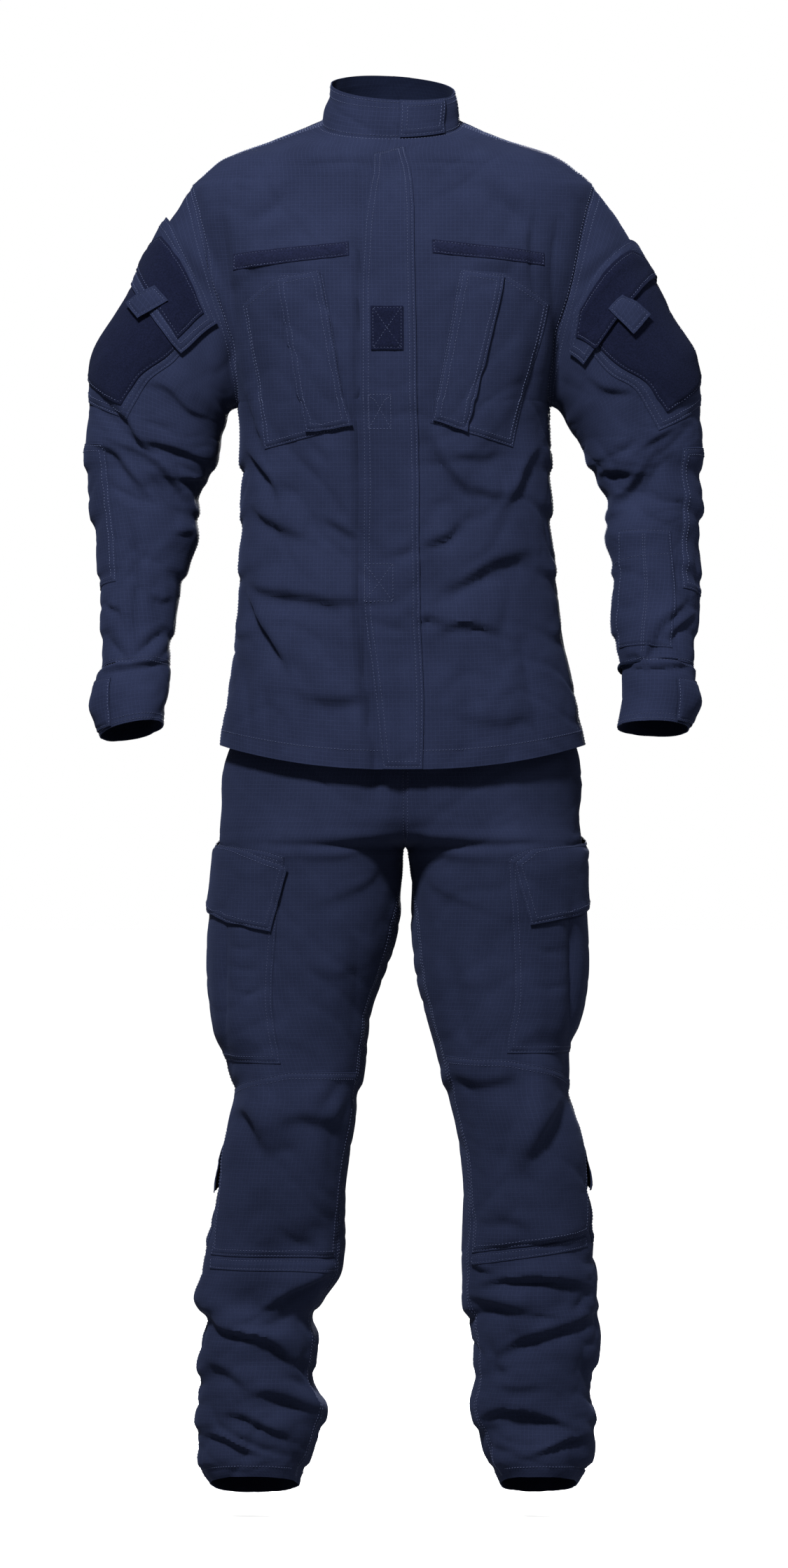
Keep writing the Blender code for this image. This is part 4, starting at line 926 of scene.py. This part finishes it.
def patch_shares(one_side, other_side):
    """Places along two facing sides: close together near the ends, where the cloth turns under."""
    length = (passed_lengths(one_side)[-1] + passed_lengths(other_side)[-1]) / 2
    near = np.array([0, 0.8, 2.0, 3.4, 5.0, 7.0]) * MM
    near = near[near < length * 0.3]
    count = max(int((length - 2 * near[-1]) / PATCH_CELL), 1)
    middle = np.linspace(near[-1], length - near[-1], count + 1)[1:-1]
    return np.concatenate([near, middle, (length - near)[::-1]]) / length


def patch_grid(corners):
    """A net of flat points that fills an outline."""
    top, right, bottom, left = four_sides(corners)
    bottom, left = bottom[::-1], left[::-1]
    across, down = patch_shares(top, bottom), patch_shares(left, right)
    upper, lower = along_line(top, across)[None], along_line(bottom, across)[None]
    start, end = along_line(left, down)[:, None], along_line(right, down)[:, None]
    a, b = down[:, None, None], across[None, :, None]
    upper_corners = (1 - b) * top[0] + b * top[-1]
    lower_corners = (1 - b) * bottom[0] + b * bottom[-1]
    shared = (1 - a) * upper_corners + a * lower_corners
    return (1 - a) * upper + a * lower + (1 - b) * start + b * end - shared


def edge_profile(distance, loose):
    """Height of a turned and stitched edge. A loose one stands off what it lies on."""
    rim = rising(distance, 0, EDGE_TURN)
    rolled = np.sqrt(np.clip(1 - (1 - rim) ** 2, 0, 1))
    drawn = 0.8 * MM * np.exp(-(((distance - STITCH_IN) / (1.2 * MM)) ** 2))
    soft = 0.6 * MM * np.exp(-(((distance - 6 * MM) / (2.5 * MM)) ** 2))
    fall = 0.4 * MM if loose else 1.2 * MM
    return (rolled - 1) * fall - drawn + soft + loose


def patch_height(patch, flat):
    """How high a sewn-on piece's upper side lies over its form."""
    distance = inside(patch.corners, flat)
    full = 0.0
    if patch.full:
        t = rising(inside(patch.full_corners, flat), 0, patch.run)
        full = patch.full * t * t * (3 - 2 * t)
    return patch.lift + edge_profile(distance, patch.loose) + full


def lay_patch(node, ground, finish_of, layer=0, full=0.0, run=0.03, over=None, loose=0.0):
    """A piece sewn on a form, in place of its solid. Over a full pocket it follows its swell."""
    form, pattern, carrier = ground
    corners = pattern.outline(node)
    swell = (over.corners, over.full, over.run) if over else (corners, full, run)
    patch = Patch(form, corners, PATCH_LIFT + layer * LAYER, *swell, loose)
    flat = patch_grid(corners)
    place, out = on_form(form, flat)
    points = place + out * patch_height(patch, flat)[..., None]
    turn = np.cross(points[1, 0] - points[0, 0], points[0, 1] - points[0, 0])
    if turn @ out[0, 0] < 0:
        points, flat = points[:, ::-1], flat[:, ::-1]
    piece = cloth_object(f"{node}_cloth", points, flat, PATCH_WALL, finish_of)
    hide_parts(node)
    return patch


def on_panel(form):
    """A panel as something to sew on."""
    return Patch(form, None, 0.1 * MM, None, 0.0, 0.0, 0.0)


def sew(garment, patch, line, closed=False):
    """A row of stitches along a line of the flat pattern."""
    line = np.array(line)
    if closed:
        line = np.concatenate([line, line[:1]])
    count = max(int(passed_lengths(line)[-1] / STITCH_STEP), 2)
    flat = along_line(line, (np.arange(count) + 0.5) / count)
    place, out = on_form(patch.form, flat)
    height = np.full(len(flat), patch.lift) if patch.corners is None else patch_height(patch, flat)
    points = place + out * (height + STITCH_LIFT)[:, None]
    ahead = unit(np.gradient(points, axis=0))
    stitches[garment].append((points, ahead, out))


def sew_round(garment, patches, *distances):
    """Rows of stitches round sewn-on pieces, at these distances inside their edges."""
    for patch in patches:
        for distance in distances:
            sew(garment, patch, inset(patch.corners, distance), closed=True)


def sew_across(garment, form, row, *distances):
    """Rows of stitches round a form, at these distances below one of its rows."""
    for distance in distances:
        line = form.flat[row, ::3].copy()
        line[:, 1] += distance
        sew(garment, on_panel(form), line)


def sew_down(garment, form, column, way, distances, first=0, last=None):
    """Rows of stitches down a form, at these distances to one side of one of its columns."""
    for distance in distances:
        line = form.flat[first:last:4, column].copy()
        line[:, 0] += way * distance
        sew(garment, on_panel(form), line)


def stitch_object(garment, finish_of):
    """All stitches of a garment as one piece: each a little spindle of six faces."""
    points, faces = [], []
    shape = ((-0.5, 0, -0.2), (0, -0.5, -0.1), (0, 0, 0.7), (0, 0.5, -0.1), (0.5, 0, -0.2))
    sides = ((0, 1, 2), (0, 2, 3), (4, 2, 1), (4, 3, 2), (0, 3, 1), (4, 1, 3))
    for places, ahead, out in stitches[garment]:
        aside = np.cross(out, ahead)
        for place, long_way, wide_way, up in zip(places, ahead, aside, out):
            first = len(points)
            for along, across, high in shape:
                wide = wide_way * across + up * high
                points.append(place + long_way * along * STITCH_LONG + wide * STITCH_WIDE)
            faces += [tuple(first + corner for corner in side) for side in sides]
    mesh = bpy.data.meshes.new(f"{garment}_stitches")
    mesh.from_pydata([tuple(point) for point in points], [], faces)
    mesh.materials.append(finish_of)
    piece = new_object(f"{garment}_stitches", mesh)
    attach(piece, "root")


def node_of(tree, kind, **values):
    made = tree.nodes.new(kind)
    for name, value in values.items():
        setattr(made, name, value)
    return made


def linked(tree, node, socket, value):
    """Sets an input of a node, from another node's output or to a number."""
    if isinstance(value, bpy.types.NodeSocket):
        tree.links.new(value, node.inputs[socket])
    else:
        node.inputs[socket].default_value = value
    return node


def number(tree, operation, *values):
    made = node_of(tree, "ShaderNodeMath", operation=operation)
    for i, value in enumerate(values):
        linked(tree, made, i, value)
    return made.outputs[0]


def ranged(tree, value, low, high, to_low=0.0, to_high=1.0):
    """A value's range turned into another one, with its ends held."""
    made = node_of(tree, "ShaderNodeMapRange", clamp=True)
    linked(tree, made, "Value", value)
    linked(tree, made, "From Min", low)
    linked(tree, made, "From Max", high)
    linked(tree, made, "To Min", to_low)
    linked(tree, made, "To Max", to_high)
    return made.outputs["Result"]


def thread_lines(tree, flat, step, wide, mix):
    """1 on thin lines a step apart both ways, 0 between them."""
    split = node_of(tree, "ShaderNodeSeparateXYZ")
    linked(tree, split, 0, flat)
    lines = []
    for way in (0, 1):
        fold = number(tree, "PINGPONG", split.outputs[way], step / 2)
        lines.append(ranged(tree, fold, 0.0, wide, 1.0, 0.0))
    return number(tree, mix, *lines)


def clouds(tree, vector, scale, detail=3.0, roughness=0.6):
    made = node_of(tree, "ShaderNodeTexNoise")
    linked(tree, made, "Vector", vector)
    linked(tree, made, "Scale", scale)
    linked(tree, made, "Detail", detail)
    linked(tree, made, "Roughness", roughness)
    return made.outputs["Fac"]


def blend_colours(tree, share, first, second):
    made = node_of(tree, "ShaderNodeMix", data_type="RGBA")
    linked(tree, made, "Factor", share)
    for name, value in (("A", first), ("B", second)):
        socket = [s for s in made.inputs if s.name == name and s.type == "RGBA"][0]
        if isinstance(value, bpy.types.NodeSocket):
            tree.links.new(value, socket)
        else:
            socket.default_value = (*value, 1)
    return [s for s in made.outputs if s.type == "RGBA"][0]


def shade(colour, share):
    """A colour made darker or lighter."""
    return tuple(share * part for part in colour)


def new_finish(name):
    """A material, its node tree, its shader and the place on the piece."""
    made = bpy.data.materials.new(name)
    made.use_nodes = True
    tree = made.node_tree
    place = node_of(tree, "ShaderNodeTexCoord").outputs["Object"]
    return made, tree, tree.nodes["Principled BSDF"], place


def set_surface(shader, roughness, gloss, sheen=0.0, sheen_spread=0.5):
    """How the surface takes light. Its sheen is bluish."""
    shader.inputs["Roughness"].default_value = roughness
    shader.inputs["Specular IOR Level"].default_value = gloss
    shader.inputs["Sheen Weight"].default_value = sheen
    shader.inputs["Sheen Roughness"].default_value = sheen_spread
    shader.inputs["Sheen Tint"].default_value = (0.35, 0.45, 0.9, 1)


def set_relief(tree, shader, height, strength, distance):
    """Lets the surface catch light as if it rose and fell."""
    bump = node_of(tree, "ShaderNodeBump")
    linked(tree, bump, "Strength", strength)
    linked(tree, bump, "Distance", distance)
    linked(tree, bump, "Height", height)
    tree.links.new(bump.outputs["Normal"], shader.inputs["Normal"])


def ripstop(name, colour):
    """Plain woven cloth with the square grid of thicker threads."""
    made, tree, shader, place = new_finish(name)
    flat = node_of(tree, "ShaderNodeUVMap", uv_map="pattern").outputs["UV"]
    grid = thread_lines(tree, flat, 5 * MM, 0.45 * MM, "MAXIMUM")
    yarn = thread_lines(tree, flat, 0.8 * MM, 0.4 * MM, "MULTIPLY")
    fading = ranged(tree, clouds(tree, place, 16.0, 4.0), 0.3, 0.7)
    heather = ranged(tree, clouds(tree, place, 650.0, 2.0), 0.35, 0.75, 0.0, 0.35)
    raised = number(tree, "MULTIPLY", grid, 0.5)
    base = blend_colours(tree, fading, shade(colour, 0.84), shade(colour, 1.16))
    base = blend_colours(tree, raised, base, shade(colour, 1.7))
    base = blend_colours(tree, heather, base, shade(colour, 0.62))
    tree.links.new(base, shader.inputs["Base Color"])
    woven = number(tree, "ADD", raised, number(tree, "MULTIPLY", yarn, 0.35))
    uneven = number(tree, "MULTIPLY", clouds(tree, place, 260.0, 3.0), 0.6)
    set_relief(tree, shader, number(tree, "ADD", woven, uneven), 0.45, 0.35 * MM)
    set_surface(shader, 0.86, 0.002, sheen=0.009)
    return made


def loop_pile(name, colour):
    """The soft side of hook-and-loop tape: a dull, uneven pile."""
    made, tree, shader, place = new_finish(name)
    pile = clouds(tree, place, 520.0, 4.0, 0.7)
    patches = ranged(tree, clouds(tree, place, 70.0, 3.0), 0.35, 0.7, 0.0, 0.4)
    base = blend_colours(tree, ranged(tree, pile, 0.35, 0.7), shade(colour, 0.55), shade(colour, 1.5))
    base = blend_colours(tree, patches, base, shade(colour, 0.7))
    tree.links.new(base, shader.inputs["Base Color"])
    set_relief(tree, shader, pile, 0.9, 0.8 * MM)
    set_surface(shader, 0.97, 0.004, sheen=0.006, sheen_spread=0.8)
    return made


def thread(name, colour):
    """Sewing thread, lighter than its cloth."""
    made, tree, shader, place = new_finish(name)
    twist = clouds(tree, place, 900.0, 2.0)
    base = blend_colours(tree, twist, shade(colour, 0.75), shade(colour, 1.25))
    tree.links.new(base, shader.inputs["Base Color"])
    set_surface(shader, 0.6, 0.02)
    return made


JACKET_CLOTH = ripstop("jacket_ripstop", (0.0027, 0.0035, 0.0079))
TROUSER_CLOTH = ripstop("trouser_ripstop", (0.0027, 0.0035, 0.0078))
TAPE = loop_pile("loop_tape", (0.0008, 0.0010, 0.0030))
NAME_TAPE = loop_pile("name_tape_pile", (0.0014, 0.0017, 0.0046))
# Darker copies of the two cloths for the inner side of every panel and patch: painted shade, standing
# in for the shadow inside the garment.
JACKET_INSIDE_SHADED = ripstop("jacket_inside_painted_shade", (0.0010, 0.0014, 0.0034))
TROUSER_INSIDE_SHADED = ripstop("trouser_inside_painted_shade", (0.0008, 0.0010, 0.0024))
JACKET_THREAD = thread("jacket_thread", (0.0140, 0.0170, 0.0310))
TROUSER_THREAD = thread("trouser_thread", (0.0115, 0.0140, 0.0265))


def view_spot(ground, px, py):
    """The flat place of what the front view shows at a pixel of the photograph."""
    x, z = seen(px, py)
    pattern = ground[1]
    spot = pattern.tree.ray_cast(Vector((x, -1.0, z)), Vector((0, 1, 0)))[0]
    return pattern.flat(spot)


def sew_box(patch, ground, left, right, top, bottom):
    """A stitched square with a cross in it, between these pixels of the photograph."""
    corners = ((left, top), (right, top), (right, bottom), (left, bottom))
    spots = [view_spot(ground, *corner) for corner in corners]
    sew("jacket", patch, spots, closed=True)
    sew("jacket", patch, [spots[0], spots[2]])
    sew("jacket", patch, [spots[1], spots[3]])


def make_jacket():
    rest_front, rest_back = jacket_forms()
    middle = PANEL_COLUMNS * BODY_ACROSS
    still = STILL_ROWS["jacket"]
    front = folded(rest_front, seams=(0, middle, -1), still=still)
    back = folded(rest_back, seams=(0, -1), still=still)
    panel("jacket_front_right", front, 0, middle, JACKET_CLOTH)
    panel("jacket_front_left", front, middle, 2 * middle, JACKET_CLOTH)
    panel("jacket_back", back, 0, 2 * middle, JACKET_CLOTH)
    pattern = Pattern(rest_front)
    ground = (front, pattern, "jacket_front_left")
    placket = lay_patch("front_placket", ground, JACKET_CLOTH, loose=1.2 * MM)
    sew_round("jacket", [placket], STITCH_IN, SECOND_ROW)
    sew_box(placket, ground, left=527, right=558, top=571, bottom=619)
    sew_box(placket, ground, left=522, right=561, top=810, bottom=862)
    rank = lay_patch("rank_tab", ground, TAPE, layer=1, loose=1.5 * MM)
    sew_round("jacket", [rank], STITCH_IN)
    drawn = inset(rank.corners, STITCH_IN)
    for corner in (0, 1):
        sew("jacket", rank, [drawn[corner], drawn[len(drawn) // 2 + corner]])
    for side in ("left", "right"):
        ground = (front, pattern, f"jacket_front_{side}")
        tape = lay_patch(f"name_tape_{side}", ground, NAME_TAPE)
        pocket = lay_patch(f"chest_pocket_{side}", ground, JACKET_CLOTH, full=2 * MM)
        flap = lay_patch(f"chest_flap_{side}", ground, JACKET_CLOTH, layer=1, over=pocket, loose=2 * MM)
        sew_round("jacket", [tape], STITCH_IN)
        sew_round("jacket", [pocket, flap], STITCH_IN, SECOND_ROW)
    low, high = ARMHOLE_LOW_ROW * BODY_DOWN, ARMHOLE_TOP_ROW * BODY_DOWN
    for form in (front, back):
        for column, way in ((0, 1), (-1, -1)):
            sew_down("jacket", form, column, way, SEAM_ROWS, 0, high)
            sew_down("jacket", form, column, way, SEAM_ROWS, low)
            sew_down("jacket", form, column, way, [EDGE_ROW], high, low)
        sew_across("jacket", form, -1, -JACKET_HEM)
        sew_across("jacket", form, 0, EDGE_ROW)
    for side in ("left", "right"):
        make_sleeve(side, rest_front, rest_back, front, back)
    make_collar(np.concatenate([front.place[0], back.place[0, 1:]]))


def make_sleeve(side, rest_front, rest_back, front, back):
    """A sleeve with its pieces and cuff. Its first row is drawn on to the jacket's armhole."""
    rest = sleeve_net(side, rest_front, rest_back)
    first, second = ORDER[side]
    seam = SLEEVE_COLUMNS[first] * SLEEVE_ACROSS
    sleeve = folded(rest, closed=True, seams=(0, seam, -1))
    shares = np.linspace(0, 1, sleeve.place.shape[1])
    pull_rows(sleeve.place, at_share(armhole_edge(front.place, back.place, side), shares), DRAWN_ROWS)
    panel(f"sleeve_{side}_{first}", sleeve, 0, seam, JACKET_CLOTH)
    panel(f"sleeve_{side}_{second}", sleeve, seam, len(shares) - 1, JACKET_CLOTH)
    ground = (sleeve, Pattern(rest), f"sleeve_{side}_front")
    pocket = lay_patch(f"sleeve_pocket_{side}", ground, JACKET_CLOTH, full=4 * MM)
    loop = lay_patch(f"sleeve_loop_{side}", ground, TAPE, layer=1, over=pocket)
    flap = lay_patch(f"sleeve_flap_{side}", ground, JACKET_CLOTH, layer=2, over=pocket, loose=1 * MM)
    flap_loop = lay_patch(f"flap_loop_{side}", ground, TAPE, layer=3, over=pocket, loose=1 * MM)
    tab = lay_patch(f"pull_tab_{side}", ground, JACKET_CLOTH, layer=4, over=pocket, loose=1.5 * MM)
    elbow = lay_patch(f"elbow_patch_{side}", ground, JACKET_CLOTH)
    sew_round("jacket", [pocket, flap, elbow], STITCH_IN, SECOND_ROW)
    sew_round("jacket", [loop, flap_loop, tab], STITCH_IN)
    if side == "left":
        pen = lay_patch("pen_pocket", ground, JACKET_CLOTH)
        sew_round("jacket", [pen], STITCH_IN)
        rows = (((915, 764), (914, 934)), ((918, 764), (917, 934)), ((876, 808), (952, 793)))
        for start, end in rows:
            sew("jacket", pen, [view_spot(ground, *start), view_spot(ground, *end)])
    for column, way in ((0, 1), (-1, -1), (seam, 1), (seam, -1)):
        sew_down("jacket", sleeve, column, way, SEAM_ROWS[:1])
    sew_across("jacket", sleeve, 0, *SEAM_ROWS)
    sew_across("jacket", sleeve, -1, -EDGE_ROW)
    rest_cuff = cuff_form(side, rest)
    cuff = folded(rest_cuff, closed=True)
    tube_panel(f"cuff_{side}", cuff, JACKET_CLOTH)
    sew_across("jacket", cuff, 0, EDGE_ROW)
    sew_across("jacket", cuff, -1, -EDGE_ROW, -SEAM_ROWS[1])
    ground = (cuff, Pattern(rest_cuff), f"cuff_{side}")
    tab = lay_patch(f"cuff_tab_{side}", ground, JACKET_CLOTH, full=6 * MM, loose=1 * MM)
    sew_round("jacket", [tab], STITCH_IN)


def make_collar(neck):
    """The collar, whose lower edge is drawn on to the jacket's neck edge."""
    rest = tube_form("jacket_collar", (0, 0.08, 0.07), TUBE_STEPS)
    neck = finer(neck, LINE_STEPS)
    gaps = np.linalg.norm(rest.place[-1][:, None] - neck[None], axis=2)
    pull_rows(rest.place[::-1], neck[gaps.argmin(axis=1)], TUBE_STEPS)
    collar = folded(rest, closed=True, still=STILL_ROWS["collar"])
    tube_panel("jacket_collar", collar, JACKET_CLOTH)
    sew_across("jacket", collar, 0, EDGE_ROW, 10 * MM)
    sew_across("jacket", collar, -1, -EDGE_ROW)
    ground = (collar, Pattern(rest), "jacket_collar")
    tab = lay_patch("collar_tab", ground, JACKET_CLOTH, loose=1.5 * MM)
    sew_round("jacket", [tab], STITCH_IN, SECOND_ROW)


def make_trousers():
    middle, crotch = PANEL_COLUMNS * LEG_ACROSS, CROTCH_ROW * LEG_DOWN
    for side in ("left", "right"):
        rest = leg_form(side)
        leg = folded(rest, seams=(0, middle, -1))
        first, second = ORDER[side]
        panel(f"trouser_{first}_{side}", leg, 0, middle, TROUSER_CLOTH)
        panel(f"trouser_{second}_{side}", leg, middle, 2 * middle, TROUSER_CLOTH)
        ground = (leg, Pattern(rest), f"trouser_front_{side}")
        cargo = lay_patch(f"cargo_pocket_{side}", ground, TROUSER_CLOTH, full=6 * MM, run=0.036)
        flap = lay_patch(f"cargo_flap_{side}", ground, TROUSER_CLOTH, layer=1, over=cargo, loose=2 * MM)
        knee = lay_patch(f"knee_patch_{side}", ground, TROUSER_CLOTH)
        strip = lay_patch(f"knee_strip_{side}", ground, TROUSER_CLOTH)
        calf = lay_patch(f"calf_pocket_{side}", ground, TROUSER_CLOTH, full=4 * MM)
        tip = lay_patch(f"calf_flap_{side}", ground, TROUSER_CLOTH, layer=1, over=calf, loose=2 * MM)
        sew_round("trousers", [cargo, flap, knee, calf], STITCH_IN, SECOND_ROW)
        sew_round("trousers", [strip, tip], STITCH_IN)
        sew_down("trousers", leg, middle, 1, SEAM_ROWS)
        for column, way in ((0, 1), (-1, -1)):
            sew_down("trousers", leg, column, way, SEAM_ROWS[:1], 0, crotch)
            sew_down("trousers", leg, column, way, SEAM_ROWS[:1], crotch)
        sew_across("trousers", leg, -1, -TROUSER_HEM)
        sew_across("trousers", leg, 0, 4 * MM)
    band = tube_form("waistband", (0, 0.1, -0.578), BAND_STEPS)
    tube_panel("waistband", band, TROUSER_CLOTH)
    sew_across("trousers", band, 0, EDGE_ROW)
    sew_across("trousers", band, -1, -EDGE_ROW)


def make_stage():
    """A wide pale floor just under the trouser hems."""
    bpy.ops.mesh.primitive_circle_add(vertices=96, radius=40, fill_type="NGON", location=(0, 0, FLOOR))
    floor = bpy.context.object
    floor.name = "pale_floor"
    bpy.ops.object.transform_apply(location=True)
    paper = bpy.data.materials.new("pale_paper")
    paper.use_nodes = True
    shader = paper.node_tree.nodes["Principled BSDF"]
    shader.inputs["Base Color"].default_value = (0.15, 0.15, 0.15, 1)
    shader.inputs["Emission Color"].default_value = (1, 1, 1, 1)
    shader.inputs["Emission Strength"].default_value = 0.85
    shader.inputs["Roughness"].default_value = 0.9
    shader.inputs["Specular IOR Level"].default_value = 0.1
    floor.data.materials.append(paper)
    floor.select_set(False)


def make_light(name, place, target_height, size, power):
    """A square lamp that points at the middle of the uniform at some height."""
    lamp = bpy.data.lights.new(name, "AREA")
    lamp.shape = "RECTANGLE"
    lamp.size = lamp.size_y = size
    lamp.energy = power
    light = new_object(name, lamp)
    light.location = place
    light.visible_camera = False
    aim = Vector((0, 0, target_height)) - Vector(place)
    light.rotation_euler = aim.to_track_quat("-Z", "Y").to_euler()


def make_lights():
    make_light("key", (-0.9, -3.0, 2.5), -0.6, 0.6, 1800)
    make_light("side", (3.0, -1.2, 1.8), -0.8, 1.2, 160)
    make_light("back_key", (0.3, 3.4, 0.3), -0.6, 0.9, 1000)
    scene = bpy.context.scene
    if not scene.world:
        scene.world = bpy.data.worlds.new("studio")
    scene.world.use_nodes = True
    background = scene.world.node_tree.nodes["Background"]
    background.inputs["Color"].default_value = (1, 1, 1, 1)
    background.inputs["Strength"].default_value = 1.0
    scene.view_settings.view_transform = "Standard"


def make_camera():
    """Straight in front with a long lens, so that a pixel shows what it does in the photograph."""
    away = 10.0
    camera = bpy.data.cameras.new("camera")
    camera.sensor_width = 36.0
    camera.lens = camera.sensor_width * away / (PICTURE_HIGH * PIXEL)
    camera.clip_end = 100
    stand = new_object("camera", camera)
    x, z = seen(PICTURE_WIDE / 2, PICTURE_HIGH / 2)
    stand.location = (x, -away, z)
    stand.rotation_euler = (math.pi / 2, 0, 0)
    bpy.context.scene.camera = stand


make_jacket()
make_trousers()
stitch_object("jacket", JACKET_THREAD)
stitch_object("trousers", TROUSER_THREAD)
make_stage()
make_lights()
make_camera()
